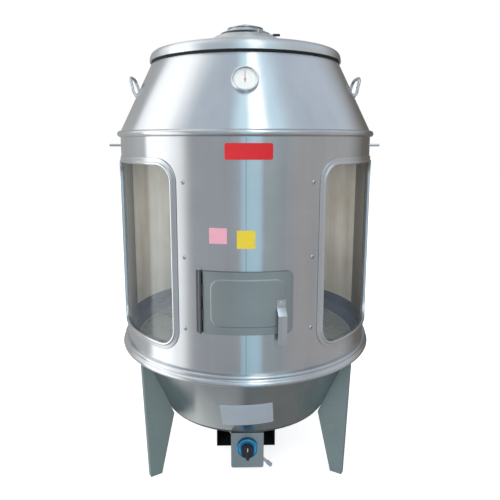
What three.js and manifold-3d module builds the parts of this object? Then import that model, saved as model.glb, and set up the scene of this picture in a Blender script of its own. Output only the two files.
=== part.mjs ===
// A duck roasting oven: a steel drum with two curved windows and a fire door, on a bowl with
// three folded legs, under a hood cone with a lift-off lid and a rotary damper, heated by a gas burner.
// Millimetres, +Z up from the floor, the front faces -Y, and the drum's axis is X = Y = 0.
import * as THREE from "three";
import { mergeVertices } from "three/addons/utils/BufferGeometryUtils.js";
import Module from "manifold-3d";

const wasm = await Module();
wasm.setup();

// Driving sizes
const drumRadius = 400;
const drumHeight = 666;
const standHeight = 450; // floor to the drum's lower edge
const hoodRise = 206;
const mouthRadius = 298; // outer radius of the hood's top edge
const sheet = 1.5; // wall of the rolled sheets
const plate = 3; // wall of the folded plates
const seat = 0.3; // gap between two pieces that touch
const overrun = 5; // how far a cutter passes its work

// Facets
const around = 48; // round the oven
const sides = 12; // round a small round piece
const hexSides = 6; // round a nut
const barSides = 8; // round a bent bar
const barSteps = 14; // along a bent bar
const cornerSteps = 2; // half the steps round a quarter corner
const beadSteps = 5; // round a rolled bead

const drumTop = standHeight + drumHeight;
const drumInside = drumRadius - sheet;
const onDrum = drumRadius + seat;
const inDrum = drumInside - seat;

// Solids

function solidOf(geometry) {
  const bare = geometry.index ? geometry.toNonIndexed() : geometry.clone();
  bare.deleteAttribute("normal");
  bare.deleteAttribute("uv");
  const merged = mergeVertices(bare);
  return new wasm.Manifold(
    new wasm.Mesh({
      numProp: 3,
      vertProperties: merged.attributes.position.array,
      triVerts: new Uint32Array(merged.index.array),
    }),
  );
}

function geometryOf(solid) {
  const mesh = solid.getMesh();
  const geometry = new THREE.BufferGeometry();
  geometry.setAttribute("position", new THREE.BufferAttribute(mesh.vertProperties, 3));
  geometry.setIndex(new THREE.BufferAttribute(mesh.triVerts, 1));
  const flat = geometry.toNonIndexed();
  flat.computeVertexNormals();
  return flat;
}

// A solid moved by the matrix of the group that carries it.
const moved = (solid, group) => {
  group.updateWorldMatrix(true, false);
  return solidOf(geometryOf(solid).applyMatrix4(group.matrixWorld));
};

const join = (...solids) => solids.reduce((a, b) => a.add(b));
const cut = (solid, ...tools) => tools.reduce((a, b) => a.subtract(b), solid);

// A closed outline of [radius, height] points, turned round the Z axis.
function turned(outline, facets = around) {
  const points = outline.map(([radius, height]) => new THREE.Vector2(radius, height));
  if (THREE.ShapeUtils.area(points) < 0) points.reverse();
  const onAxis = points[0].x === 0 && points.at(-1).x === 0;
  if (!onAxis) points.push(points[0].clone());
  return solidOf(new THREE.LatheGeometry(points, facets).rotateX(Math.PI / 2));
}

// A ring of rectangular section between two radii and two heights.
const ring = (inner, outer, low, high, facets = around) =>
  turned([[inner, low], [outer, low], [outer, high], [inner, high]], facets);

// An upright disc, cone or dome whose outline starts on the axis.
const disc = (radius, low, high, facets = around) =>
  turned([[0, low], [radius, low], [radius, high], [0, high]], facets);

const block = (x0, x1, y0, y1, z0, z1) =>
  solidOf(new THREE.BoxGeometry(x1 - x0, y1 - y0, z1 - z0)
    .translate((x0 + x1) / 2, (y0 + y1) / 2, (z0 + z1) / 2));

// A cylinder along Y between two depths, at a given place on X and Z.
const pinY = (radius, y0, y1, x = 0, z = 0, facets = sides) =>
  solidOf(new THREE.CylinderGeometry(radius, radius, y1 - y0, facets).translate(x, (y0 + y1) / 2, z));

const pinX = (radius, x0, x1, y = 0, z = 0, facets = sides) =>
  solidOf(new THREE.CylinderGeometry(radius, radius, x1 - x0, facets)
    .rotateZ(Math.PI / 2).translate((x0 + x1) / 2, y, z));

const pinZ = (radius, z0, z1, x = 0, y = 0, facets = sides) =>
  solidOf(new THREE.CylinderGeometry(radius, radius, z1 - z0, facets)
    .rotateX(Math.PI / 2).translate(x, y, (z0 + z1) / 2));

// A flat outline in X and Z, given a thickness between two depths.
function slab(shape, y0, y1) {
  const geometry = new THREE.ExtrudeGeometry(shape, {
    depth: y1 - y0, bevelEnabled: false, curveSegments: cornerSteps,
  });
  return solidOf(geometry.rotateX(Math.PI / 2).translate(0, y1, 0));
}

function outlineOf(points) {
  return new THREE.Shape(points.map(([x, y]) => new THREE.Vector2(x, y)));
}

// A rectangle whose four corners, from the lower left round to the upper left, have their own radii.
function rounded(x0, x1, y0, y1, lowLeft, lowRight = lowLeft, highRight = lowLeft, highLeft = lowLeft) {
  const shape = new THREE.Shape();
  const quarter = Math.PI / 2;
  shape.moveTo(x0 + lowLeft, y0);
  shape.lineTo(x1 - lowRight, y0);
  if (lowRight) shape.absarc(x1 - lowRight, y0 + lowRight, lowRight, -quarter, 0);
  shape.lineTo(x1, y1 - highRight);
  if (highRight) shape.absarc(x1 - highRight, y1 - highRight, highRight, 0, quarter);
  shape.lineTo(x0 + highLeft, y1);
  if (highLeft) shape.absarc(x0 + highLeft, y1 - highLeft, highLeft, quarter, 2 * quarter);
  shape.lineTo(x0, y0 + lowLeft);
  if (lowLeft) shape.absarc(x0 + lowLeft, y0 + lowLeft, lowLeft, 2 * quarter, 3 * quarter);
  return shape;
}

// An outline of arc length and height, measured on the drum from its front line, thrown outwards from the
// axis between two radii. The outer radius is raised so that the flat outer cap stays outside it.
function thrown(shape, inner, outer) {
  const geometry = new THREE.ExtrudeGeometry(shape, {
    depth: 1, bevelEnabled: false, curveSegments: cornerSteps,
  });
  geometry.computeBoundingBox();
  const { min, max } = geometry.boundingBox;
  const reach = outer / Math.cos((max.x - min.x) / 2 / drumRadius);
  const place = geometry.attributes.position;
  for (let i = 0; i < place.count; i++) {
    const angle = place.getX(i) / drumRadius;
    const radius = THREE.MathUtils.lerp(inner, reach, place.getZ(i));
    place.setXYZ(i, radius * Math.sin(angle), -radius * Math.cos(angle), place.getY(i));
  }
  return solidOf(geometry);
}

// A panel rolled to the drum's curve: the part of a ring that lies behind an outline.
function rolled(shape, inner, outer) {
  const box = new THREE.Box2().setFromPoints(shape.getPoints(cornerSteps));
  const band = ring(inner, outer, box.min.y - overrun, box.max.y + overrun);
  return band.intersect(thrown(shape, inner - overrun, outer + overrun));
}

// A round bar bent along a smooth line through its points, with flat ends.
function bentBar(points, radius, facets = barSides, steps = barSteps) {
  const section = new THREE.Shape();
  section.absarc(0, 0, radius, 0, 2 * Math.PI);
  const line = new THREE.CatmullRomCurve3(points.map((p) => new THREE.Vector3(...p)), false, "centripetal");
  return solidOf(new THREE.ExtrudeGeometry(section, {
    steps, curveSegments: facets / 2, extrudePath: line, bevelEnabled: false,
  }));
}

// Points of an arc in an outline, from one angle to another in degrees.
function arc(centre, radius, from, to, steps = beadSteps) {
  const points = [];
  for (let i = 0; i <= steps; i++) {
    const angle = THREE.MathUtils.degToRad(THREE.MathUtils.lerp(from, to, i / steps));
    points.push([centre[0] + radius * Math.cos(angle), centre[1] + radius * Math.sin(angle)]);
  }
  return points;
}

// Finishes
const finish = (color, roughness, metalness) =>
  new THREE.MeshStandardMaterial({ color, roughness, metalness });
const steel = () => finish(0xb4b9bd, 0.3, 1);
const satinLid = () => finish(0xc4c8ca, 0.42, 1);
const legPaint = () => finish(0x6b7777, 0.6, 0.3);
const darkSteel = () => finish(0x3a3d3f, 0.55, 0.8);
const blackIron = () => finish(0x1c1c1d, 0.75, 0.4);
const blackPlastic = () => finish(0x151617, 0.45, 0);
const blueMetal = () => finish(0x2a84c4, 0.25, 1);
const blueFilm = () => finish(0x2c3f57, 0.5, 0.2);
const brass = () => finish(0xb08d4a, 0.35, 1);
const rubber = () => finish(0x151515, 0.85, 0);
const redPlate = () => finish(0xd8262b, 0.4, 0);
const whiteDial = () => finish(0xf4f4f0, 0.5, 0);
const redNeedle = () => finish(0xb3202a, 0.5, 0);
function clearGlass() {
  const glass = finish(0xdfe9e6, 0.05, 0);
  glass.transparent = true;
  glass.opacity = 0.3;
  return glass;
}

const oven = new THREE.Group();

function piece(name, solid, material, parent = oven) {
  const mesh = new THREE.Mesh(geometryOf(solid), material);
  mesh.name = name;
  parent.add(mesh);
  return mesh;
}

// A frame whose +X points outwards at an azimuth, in degrees from the front towards the oven's +X.
function outwardFrame(azimuth, parent = oven) {
  const frame = new THREE.Group();
  frame.rotation.z = THREE.MathUtils.degToRad(azimuth - 90);
  parent.add(frame);
  return frame;
}

const azimuthOf = (arcLength) => THREE.MathUtils.radToDeg(arcLength / drumRadius);

// Bowl
const bowlLedge = 26; // width of the step from the bowl out to the drum
const bowlFootLedge = 116; // from the drum's face in to the bowl's lower edge
const bowlDepth = 205; // from the step to the bowl's lower edge
const shoulderDrop = 19; // from the drum's lower edge to the step under the lower ring
const bowlTopRadius = drumRadius - bowlLedge;
const bowlBottomRadius = drumRadius - bowlFootLedge;
const shoulder = standHeight - shoulderDrop;
const bowlBottom = shoulder - bowlDepth;
const bowlLip = standHeight - seat;
const bowlSlope = (bowlTopRadius - bowlBottomRadius) / (shoulder - bowlBottom);
const bowlRadiusAt = (height) => bowlBottomRadius + bowlSlope * (height - bowlBottom);

piece("bowl_shell", turned([
  [bowlBottomRadius, bowlBottom],
  [bowlTopRadius, shoulder],
  [drumRadius, shoulder],
  [drumRadius, bowlLip],
  [drumInside, bowlLip],
  [drumInside, shoulder + sheet],
  [bowlTopRadius - sheet, shoulder + sheet],
  [bowlBottomRadius - sheet, bowlBottom],
]), steel());

// Bowl floor: a disc under the bowl with a turned-down rim and a hole for the burner
const rimDepth = 8;
const rimInset = 6;
const headRadius = 82; // of the burner's head, which stands in the throat
const throatClearance = 14;
const throatRadius = headRadius + throatClearance;
const floorTop = bowlBottom - seat;
const floorUnder = floorTop - sheet;
const floorRadius = bowlRadiusAt(floorUnder);
const rimRadius = floorRadius - rimInset;

piece("bowl_floor", turned([
  [throatRadius, floorUnder],
  [rimRadius - sheet, floorUnder],
  [rimRadius - sheet, floorUnder - rimDepth],
  [rimRadius, floorUnder - rimDepth],
  [rimRadius, floorUnder],
  [floorRadius, floorUnder],
  [floorRadius, floorTop],
  [throatRadius, floorTop],
]), darkSteel());

// Lower ring: a thick roll, a groove and a thin bead
const rollRadius = 9;
const rollOut = 7; // from the drum's face to the roll's centre
const rollDrop = 9.5;
const beadRadius = 6;
const beadOut = 5;
const beadRaise = 7.5;
const rollAngle = 75; // degrees above level, where the roll meets the groove
const beadAngle = 60; // degrees below level, where the bead meets it
const rollCentre = [drumRadius + rollOut, standHeight - rollDrop];
const beadCentre = [drumRadius + beadOut, standHeight + beadRaise];

piece("lower_ring", turned([
  [onDrum, rollCentre[1] - rollRadius],
  ...arc(rollCentre, rollRadius, -90, rollAngle),
  ...arc(beadCentre, beadRadius, -beadAngle, 90),
  [onDrum, beadCentre[1] + beadRadius],
]), steel());

// Legs: a radial web with a folded outer flange, a folded inner flange and a foot
const legNames = ["leg_left", "leg_right", "leg_rear"];
const legStep = 360 / legNames.length; // degrees
const legFootInset = 36; // from the drum's face in to the foot
const legFootWidth = 40;
const legTopWidth = 7;
const legKneeDrop = 22; // from the bowl's lower edge to the knee
const legFlangeWidth = 18;
const legFootOuter = drumRadius - legFootInset;
const legFootInner = legFootOuter - legFootWidth;
const legTopOuter = bowlTopRadius + legTopWidth;
const legKneeHeight = bowlBottom - legKneeDrop;
const legGap = 0.6; // from the web to the bowl, measured level
const legTop = shoulder - seat;
const legInnerAt = (height) => bowlRadiusAt(height) + legGap;

function legSolid(side) {
  const depths = (width) => (side > 0 ? [0, width] : [-width, 0]);
  const web = [
    [legFootInner, 0],
    [legFootOuter, 0],
    [legTopOuter, legTop],
    [legInnerAt(legTop), legTop],
    [legInnerAt(legKneeHeight), legKneeHeight],
  ];
  const outerFlange = [
    [legFootOuter - plate, 0],
    [legFootOuter, 0],
    [legTopOuter, legTop],
    [legTopOuter - plate, legTop],
  ];
  const innerFlange = [
    [legFootInner, 0],
    [legFootInner + plate, 0],
    [legInnerAt(legKneeHeight) + plate, legKneeHeight],
    [legInnerAt(legKneeHeight), legKneeHeight],
  ];
  const foot = [
    [legFootInner, 0],
    [legFootOuter, 0],
    [legFootOuter, plate],
    [legFootInner, plate],
  ];
  return join(
    slab(outlineOf(web), ...depths(plate)),
    slab(outlineOf(outerFlange), ...depths(legFlangeWidth)),
    slab(outlineOf(innerFlange), ...depths(legFlangeWidth)),
    slab(outlineOf(foot), ...depths(legFlangeWidth)),
  );
}

legNames.forEach((name, i) => {
  const azimuth = (i - 0.5) * legStep;
  piece(name, legSolid(Math.sign(azimuth)), legPaint(), outwardFrame(azimuth));
});

// Windows: arc lengths are measured from the front line on the drum
const windowNear = 219; // front line to the clear glass
const windowWidth = 329;
const windowRise = 77; // from the drum's lower edge
const windowDrop = 85; // from the drum's upper edge
const windowCorner = 46;
const frameWidth = 19;
const frameProud = 3;
const beadWidth = 7;
const beadProud = 6;
const glassWall = 3.5;
const glassLap = 14; // how far the glass passes the opening
const glassOuter = inDrum;
const glassInner = glassOuter - glassWall;
const windowSill = standHeight + windowRise;
const windowTop = drumTop - windowDrop;

// The outline of a window grown by a margin, on the right (side 1) or the left (side -1).
function windowOutline(side, grow, corner) {
  const near = windowNear - grow;
  const far = windowNear + windowWidth + grow;
  const [x0, x1] = side > 0 ? [near, far] : [-far, -near];
  return rounded(x0, x1, windowSill - grow, windowTop + grow, corner);
}

const windowHole = (side) =>
  thrown(windowOutline(side, 0, windowCorner), glassInner - overrun, drumRadius + beadProud + overrun);

// Fire door opening
const doorLeft = -124;
const doorRight = 121;
const doorRise = 129.5; // from the drum's lower edge
const doorHeight = 175;
const doorLap = 10; // how far the door passes its opening
const openingCorner = 8;
const doorSill = standHeight + doorRise;
const doorTop = doorSill + doorHeight;
const doorOutline = (grow, corner, leftCorner = corner) =>
  rounded(doorLeft - grow, doorRight + grow, doorSill - grow, doorTop + grow,
    leftCorner, corner, corner, leftCorner);

// Hanging rod: it passes through the drum and carries the roasting ring
const rodRadius = 4;
const rodDrop = 35; // below the drum's top edge
const rodHeight = drumTop - rodDrop;
const rodReach = 46; // beyond the drum on each side
const boreClearance = 0.4;

const drumBlank = ring(drumInside, drumRadius, standHeight, drumTop);
piece("drum_shell", cut(
  drumBlank,
  windowHole(1),
  windowHole(-1),
  thrown(doorOutline(-doorLap, openingCorner), glassInner - overrun, drumRadius + overrun),
  pinX(rodRadius + boreClearance, -drumRadius - overrun, drumRadius + overrun, 0, rodHeight),
), steel());

const sideNames = { 1: "right", "-1": "left" };
for (const side of [1, -1]) {
  const label = sideNames[side];
  const flange = rolled(windowOutline(side, frameWidth, windowCorner + frameWidth),
    onDrum, drumRadius + frameProud);
  const bead = rolled(windowOutline(side, beadWidth, windowCorner + beadWidth),
    onDrum, drumRadius + beadProud);
  piece(`window_frame_${label}`, cut(join(flange, bead), windowHole(side)), steel());

  piece(`window_glass_${label}`,
    rolled(windowOutline(side, glassLap, windowCorner), glassInner, glassOuter), clearGlass());
}

// Glass clamps: upright bars screwed inside the drum, each with a lip over one edge of a glass
const clampWidth = 30;
const sideClampWidth = 130; // of the bar past a window's far edge, along the drum's side
const clampLip = 8;
const clampBase = glassInner - plate;
const clampLow = windowSill - glassLap;
const clampHigh = windowTop + glassLap;

for (const side of [1, -1]) {
  for (const end of ["front", "rear"]) {
    const edge = end === "front" ? windowNear - glassLap - seat : windowNear + windowWidth + glassLap + seat;
    const reach = end === "front" ? -clampWidth : sideClampWidth; // from the glass's edge over the drum's wall
    const bar = [edge, edge + reach].map((s) => s * side).sort((a, b) => a - b);
    const lip = [edge - Math.sign(reach) * clampLip, edge + reach].map((s) => s * side).sort((a, b) => a - b);
    piece(`glass_clamp_${sideNames[side]}_${end}`, join(
      rolled(rounded(...bar, clampLow, clampHigh, 0), clampBase - seat, inDrum),
      rolled(rounded(...lip, clampLow, clampHigh, 0), clampBase - seat, glassInner - seat),
    ), steel());
  }
}

// Top ring: a rolled bead that clasps the drum's top edge and the hood's collar
const topBeadRadius = 9.5;
const topBeadOut = 0.5;
const topBeadAngle = 80; // degrees from level to the bead's edges
const topBeadCentre = [drumRadius + topBeadOut, drumTop + seat];

piece("top_ring", turned([
  [onDrum, topBeadCentre[1] - topBeadRadius],
  ...arc(topBeadCentre, topBeadRadius, -topBeadAngle, topBeadAngle),
  [onDrum, topBeadCentre[1] + topBeadRadius],
]), steel());

// Hood cone
const hoodCollar = 6;
const hoodFoot = drumTop + seat;
const coneFoot = hoodFoot + hoodCollar;
const mouthHeight = coneFoot + hoodRise;
const mouthFlange = 14; // turned-in width of the mouth's edge
const coneSlope = (drumRadius - mouthRadius) / hoodRise;
const coneAngle = Math.atan(coneSlope);
const coneRadiusAt = (height) => drumRadius - coneSlope * (height - coneFoot);

// Thermometer: it sits square to the cone at the front
const dialRise = 128.7; // from the cone's lower edge
const dialTurn = -1.4; // degrees from the front line
const dialHeight = coneFoot + dialRise;
const dialRadius = 36.5;
const stemRadius = 5;
const stemLength = 90;
const thermometer = new THREE.Group();
thermometer.position.set(0, -coneRadiusAt(dialHeight), dialHeight);
thermometer.rotation.x = -coneAngle;
outwardFrame(dialTurn + 90).add(thermometer);

const hoodBlank = turned([
  [drumInside, hoodFoot],
  [drumRadius, hoodFoot],
  [drumRadius, coneFoot],
  [mouthRadius, mouthHeight],
  [mouthRadius - mouthFlange, mouthHeight],
  [mouthRadius - mouthFlange, mouthHeight - sheet],
  [mouthRadius - 2 * sheet, mouthHeight - sheet],
  [drumInside, coneFoot],
]);
piece("hood_cone", cut(hoodBlank,
  moved(pinY(stemRadius + boreClearance, -overrun, overrun), thermometer)), steel());

// The case stands off the facets of the cone by a small foot.
const caseDepth = 11;
const caseWall = 2;
const caseFoot = 0.5; // the cone's curve drops away behind the case
const dialWall = 1;
const glassSeat = 3;
const dialGlass = 1.5;
const needleWall = 0.8;
const needleHub = 3;
const needleReachShare = 0.72;
const needleTailShare = 0.25;
const needleWidth = 2.4;

const caseFront = -caseFoot - caseDepth;
const caseFloor = -caseFoot - caseWall;
const dialFace = caseFloor - seat - dialWall;
const glassBack = caseFront + glassSeat;
const bezelInside = dialRadius - caseWall;

piece("thermometer_case", cut(
  pinY(dialRadius, caseFront, -caseFoot, 0, 0, 2 * sides),
  pinY(bezelInside, caseFront - overrun, caseFloor, 0, 0, 2 * sides),
), finish(0xc9cdd0, 0.18, 1), thermometer);

piece("thermometer_dial",
  pinY(bezelInside - seat, dialFace, caseFloor - seat, 0, 0, 2 * sides), whiteDial(), thermometer);

const needlePlane = dialFace - seat;
const needleReach = bezelInside * needleReachShare;
const needleTail = bezelInside * needleTailShare;
piece("thermometer_needle", join(
  pinY(needleHub, needlePlane - 2 * needleWall, needlePlane),
  slab(outlineOf([
    [-needleWidth / 2, -needleTail],
    [needleWidth / 2, -needleTail],
    [needleWidth / 4, needleReach],
    [-needleWidth / 4, needleReach],
  ]), needlePlane - needleWall, needlePlane),
), redNeedle(), thermometer);

piece("thermometer_glass",
  pinY(bezelInside - seat, glassBack, glassBack + dialGlass, 0, 0, 2 * sides), clearGlass(), thermometer);

piece("thermometer_stem",
  pinY(stemRadius, -caseFoot + seat, stemLength), steel(), thermometer);

// Carry handles: bent bars that lean out from the cone on both sides
const handleLift = 113.7; // from the cone's lower edge
const handleBase = coneFoot + handleLift;
const handleBar = 4.8;
const handleSpan = 104;
const handleRise = 56;
const handleLean = 14;
const handleRoot = 10; // how far the bar's ends reach into the cone before they are trimmed
const handleShares = [[0.1, 1], [0.45, 1], [0.8, 0.92], [0.97, 0.6], [1, 0]]; // of the rise, of half the span

function handleSolid() {
  const foot = coneRadiusAt(handleBase);
  const half = handleSpan / 2;
  const near = handleShares.map(([rise, span]) =>
    [foot + handleBar + handleLean * rise, -half * span, handleBase + handleRise * rise]);
  const far = near.slice(0, -1).reverse().map(([x, y, z]) => [x, -y, z]);
  const root = (y) => [foot - handleRoot, y, handleBase - handleBar];
  return bentBar([root(-half), ...near, ...far, root(half)], handleBar);
}

for (const side of [1, -1]) {
  const level = seat / Math.cos(coneAngle);
  const cone = turned([
    [0, coneFoot],
    [drumRadius + level, coneFoot],
    [mouthRadius + level, mouthHeight],
    [0, mouthHeight],
  ]);
  const frame = outwardFrame(90 * side);
  piece(`carry_handle_${sideNames[side]}`, cut(handleSolid(), cone), steel(), frame);
}

// Lid: a dished cover that rests on the hood's mouth through a gasket
const lidOverhang = 5; // beyond the hood's mouth
const gasketHeight = 7;
const gasketWidth = 10;
const lidSkirt = 31;
const lidEase = 19; // from the lid's edge in to its shoulder
const lidCrownRise = 53; // shoulder to crown
const crownRadius = 96; // of the flat crown under the vent
const lidWall = 1.5;
const skirtShares = [[0.07, 0.4], [0.4, 0.8]]; // of the way in to the shoulder, of the skirt's height
const domeShares = [[0.1, 0.08], [0.44, 0.34], [0.86, 0.71]]; // of the way to the crown, of the crown's rise

const lid = new THREE.Group();
oven.add(lid);
const lidRadius = mouthRadius + lidOverhang;
const lidShoulder = lidRadius - lidEase;
const gasketFoot = mouthHeight + seat;
const gasketTop = gasketFoot + gasketHeight;
const lidFoot = gasketTop + seat;
const lidShoulderHeight = lidFoot + lidSkirt;
const lidCrown = lidShoulderHeight + lidCrownRise;
const lidLip = lidRadius - lidWall - gasketWidth;
const lerp = THREE.MathUtils.lerp;

const lidProfile = [
  ...skirtShares.map(([a, b]) => [lerp(lidRadius, lidShoulder, a), lidFoot + lidSkirt * b]),
  [lidShoulder, lidShoulderHeight],
  ...domeShares.map(([a, b]) => [lerp(lidShoulder, crownRadius, a), lidShoulderHeight + lidCrownRise * b]),
  [crownRadius, lidCrown],
];

// Rotary damper: sector holes in the crown and in a disc that turns on it, under a fixed cowl
const damperRadius = 68;
const damperWall = 1.5;
const ventInner = 20;
const ventLand = 10; // from the sector holes to the disc's edge
const ventOuter = damperRadius - ventLand;
const ventHalfAngle = 19; // degrees
const ventCount = 4;
const rivetRadius = 4;
const rivetHead = 9;
const headHeight = 2.5;
const runningGap = 0.4;

function sector(middle, low, high) {
  const shape = new THREE.Shape();
  const from = THREE.MathUtils.degToRad(middle - ventHalfAngle);
  const to = THREE.MathUtils.degToRad(middle + ventHalfAngle);
  shape.absarc(0, 0, ventOuter, from, to);
  shape.absarc(0, 0, ventInner, to, from, true);
  return solidOf(new THREE.ExtrudeGeometry(shape, {
    depth: high - low, bevelEnabled: false, curveSegments: cornerSteps,
  }).translate(0, 0, low));
}

const ventStep = 360 / ventCount;
const ventHoles = (low, high) =>
  Array.from({ length: ventCount }, (_, i) => sector((i + 0.5) * ventStep, low, high));

piece("lid_shell", cut(
  turned([
    [0, lidCrown - lidWall],
    ...lidProfile.slice().reverse().map(([r, z]) => [r - lidWall, z - lidWall]),
    [lidRadius - lidWall, lidFoot + lidWall],
    [lidLip, lidFoot + lidWall],
    [lidLip, lidFoot],
    [lidRadius, lidFoot],
    ...lidProfile,
    [0, lidCrown],
  ]),
  pinZ(rivetRadius + runningGap, lidCrown - overrun, lidCrown + overrun),
  ...ventHoles(lidCrown - overrun, lidCrown + overrun),
), satinLid(), lid);

piece("lid_gasket", ring(mouthRadius - gasketWidth, mouthRadius, gasketFoot, gasketTop), rubber(), lid);

const damperFoot = lidCrown + seat;
const damperTop = damperFoot + damperWall;
const damper = new THREE.Group();
lid.add(damper);

piece("damper_disc", cut(
  disc(damperRadius, damperFoot, damperTop, around / 2),
  pinZ(rivetRadius + runningGap, damperFoot - overrun, damperTop + overrun),
  ...ventHoles(damperFoot - overrun, damperTop + overrun),
), steel(), damper);

const rivetTop = damperTop + seat;
const rivetUnder = lidCrown - lidWall - seat;
piece("damper_rivet", turned([
  [0, rivetUnder - headHeight],
  [rivetHead, rivetUnder - headHeight],
  [rivetHead, rivetUnder],
  [rivetRadius, rivetUnder],
  [rivetRadius, rivetTop],
  [rivetHead, rivetTop],
  [rivetHead, rivetTop + headHeight],
  [0, rivetTop + headHeight],
], sides), darkSteel(), lid);

const leverWall = 2.5;
const leverWidth = 12;
const leverRoot = 30; // from the damper's centre
const leverRaise = 5;
const gripClearance = 9; // from the cowl's edge
const gripLength = 23;
const gripRadius = 4;
const cowlLap = 11; // beyond the damper
const cowlRadius = damperRadius + cowlLap;
const gripFace = cowlRadius + gripClearance;
const leverFoot = damperTop + seat;
const leverBend = damperRadius + leverWidth / 2;

piece("damper_lever", slab(outlineOf([
  [leverRoot, leverFoot],
  [leverBend, leverFoot],
  [gripFace - leverWall, leverFoot + leverRaise],
  [gripFace, leverFoot + leverRaise],
  [gripFace, leverFoot + leverRaise + leverWall],
  [gripFace - 2 * leverWall, leverFoot + leverRaise + leverWall],
  [leverBend - leverWall, leverFoot + leverWall],
  [leverRoot, leverFoot + leverWall],
]), -leverWidth / 2, leverWidth / 2), steel(), damper);

piece("damper_grip", pinX(gripRadius, gripFace + seat, gripFace + gripLength, 0,
  leverFoot + leverRaise + leverWall / 2), blackPlastic(), damper);

// Cowl over the damper, on three feet, and its cap
const cowlGap = 9; // from the crown to the cowl's edge
const cowlRise = 24;
const cowlEase = 27; // from the cowl's edge in to its neck
const capLap = 5; // beyond the neck
const capRise = 16;
const cowlShares = [[0.3, 0.2], [0.7, 0.6]]; // of the way in to the neck, of the height from the edge
const footRadius = 3;
const footAngles = [30, 150, 270];
const cowlNeck = cowlRadius - cowlEase;
const capRadius = cowlNeck + capLap;
const cowlEdge = lidCrown + cowlGap;
const cowlTop = lidCrown + cowlRise;

const cowlProfile = [
  [cowlRadius, cowlEdge],
  ...cowlShares.map(([a, b]) => [lerp(cowlRadius, cowlNeck, a), lerp(cowlEdge, cowlTop, b)]),
  [cowlNeck, cowlTop],
];
const cowlFeet = footAngles.map((azimuth) => {
  const angle = THREE.MathUtils.degToRad(azimuth - 90);
  const reach = cowlRadius - footRadius;
  return pinZ(footRadius, lidCrown + seat, cowlEdge + lidWall,
    reach * Math.cos(angle), reach * Math.sin(angle), barSides);
});
piece("vent_cowl", join(
  turned([...cowlProfile, ...cowlProfile.slice().reverse().map(([r, z]) => [r - 2 * lidWall, z])],
    around / 2),
  ...cowlFeet,
), satinLid(), lid);

const capFoot = cowlTop + seat;
piece("vent_cap", turned([
  [0, capFoot + capRise - lidWall],
  [cowlNeck - 2 * lidWall, capFoot + lidWall],
  [cowlNeck - 2 * lidWall, capFoot],
  [capRadius, capFoot],
  [capRadius, capFoot + lidWall],
  [0, capFoot + capRise],
], around / 2), satinLid(), lid);

// Roasting ring: it lies on the hanging rod and on two brackets, and the ducks hang from it
const ringRadius = 300;
const ringBar = 5;
const nutRadius = 12;
const nutDepth = 8;
const bracketWidth = 24;
const bracketDrop = 40;
const bracketLip = 8;
const bracketInset = 1; // the drum's facets pass behind the flat bracket
const ringHeight = rodHeight + rodRadius + seat + ringBar;

piece("hanging_rod", pinX(rodRadius, -drumRadius - rodReach, drumRadius + rodReach, 0, rodHeight, barSides),
  steel());
piece("roasting_ring", solidOf(
  new THREE.TorusGeometry(ringRadius, ringBar, barSides, around).translate(0, 0, ringHeight)), steel());

for (const side of [1, -1]) {
  piece(`rod_nut_${sideNames[side]}`, cut(
    pinX(nutRadius, onDrum, onDrum + nutDepth, 0, rodHeight, hexSides),
    pinX(rodRadius + boreClearance, drumInside, onDrum + nutDepth + overrun, 0, rodHeight, barSides),
  ), darkSteel(), outwardFrame(90 * side));
}

const bracketTop = ringHeight - ringBar - seat;
const bracketWall = drumInside - bracketInset;
const bracketTip = ringRadius - ringBar - 2 * plate - bracketLip;
for (const [label, azimuth] of [["front", 0], ["rear", 180]]) {
  piece(`ring_bracket_${label}`, slab(outlineOf([
    [bracketTip, bracketTop - plate],
    [bracketWall - plate, bracketTop - plate],
    [bracketWall - plate, bracketTop - bracketDrop],
    [bracketWall, bracketTop - bracketDrop],
    [bracketWall, bracketTop],
    [bracketTip + plate, bracketTop],
    [bracketTip + plate, bracketTop + bracketLip],
    [bracketTip, bracketTop + bracketLip],
  ]), -bracketWidth / 2, bracketWidth / 2), steel(), outwardFrame(azimuth));
}

// Name plate: a blank plate on the drum's front
const plateLeft = -62;
const plateRight = 62;
const plateDrop = 26; // from the drum's upper edge
const plateHeight = 42;
const plateCorner = 5;
const plateWall = 1.2;
const plateHigh = drumTop - plateDrop;
piece("name_plate", rolled(rounded(plateLeft, plateRight, plateHigh - plateHeight, plateHigh, plateCorner),
  onDrum, onDrum + plateWall), redPlate());

// Fire door: a rolled panel with a raised middle and two knuckles on its left edge
const doorWall = 2.5;
const doorStand = 1; // from the drum to the door's back
const doorCorner = 16;
const doorLeftCorner = 3;
const embossInset = 22;
const embossCorner = 27;
const embossRise = 2;
const doorBack = drumRadius + doorStand;
const doorFace = doorBack + doorWall;
const embossFace = doorFace + embossRise;

const knuckleRadius = 4.2;
const hingePin = 2;
const hingeOffset = 7; // from the door's edge, and from the drum, to the pin
const knuckles = 5;
const leafWidth = 13;
const leafWall = 2;
const webWall = 1.6;
const hingeArc = doorLeft - hingeOffset;
const hingeReach = drumRadius + hingeOffset;
const knuckleStep = doorHeight / knuckles;
const fireDoor = new THREE.Group();
oven.add(fireDoor);
const hingeFrame = outwardFrame(azimuthOf(hingeArc));

// Every second knuckle, from the first (fixed) or the second (moving), with a web to the leaf or the door.
function knuckleRow(first, web) {
  const row = [];
  for (let i = first; i < knuckles; i += 2) {
    const low = doorSill + i * knuckleStep + seat;
    const high = doorSill + (i + 1) * knuckleStep - seat;
    row.push(pinZ(knuckleRadius, low, high, hingeReach, 0));
    row.push(block(...web, low, high));
  }
  return moved(join(...row), hingeFrame);
}
const hingeBore = moved(
  pinZ(hingePin + runningGap, doorSill - overrun, doorTop + overrun, hingeReach, 0), hingeFrame);

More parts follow.
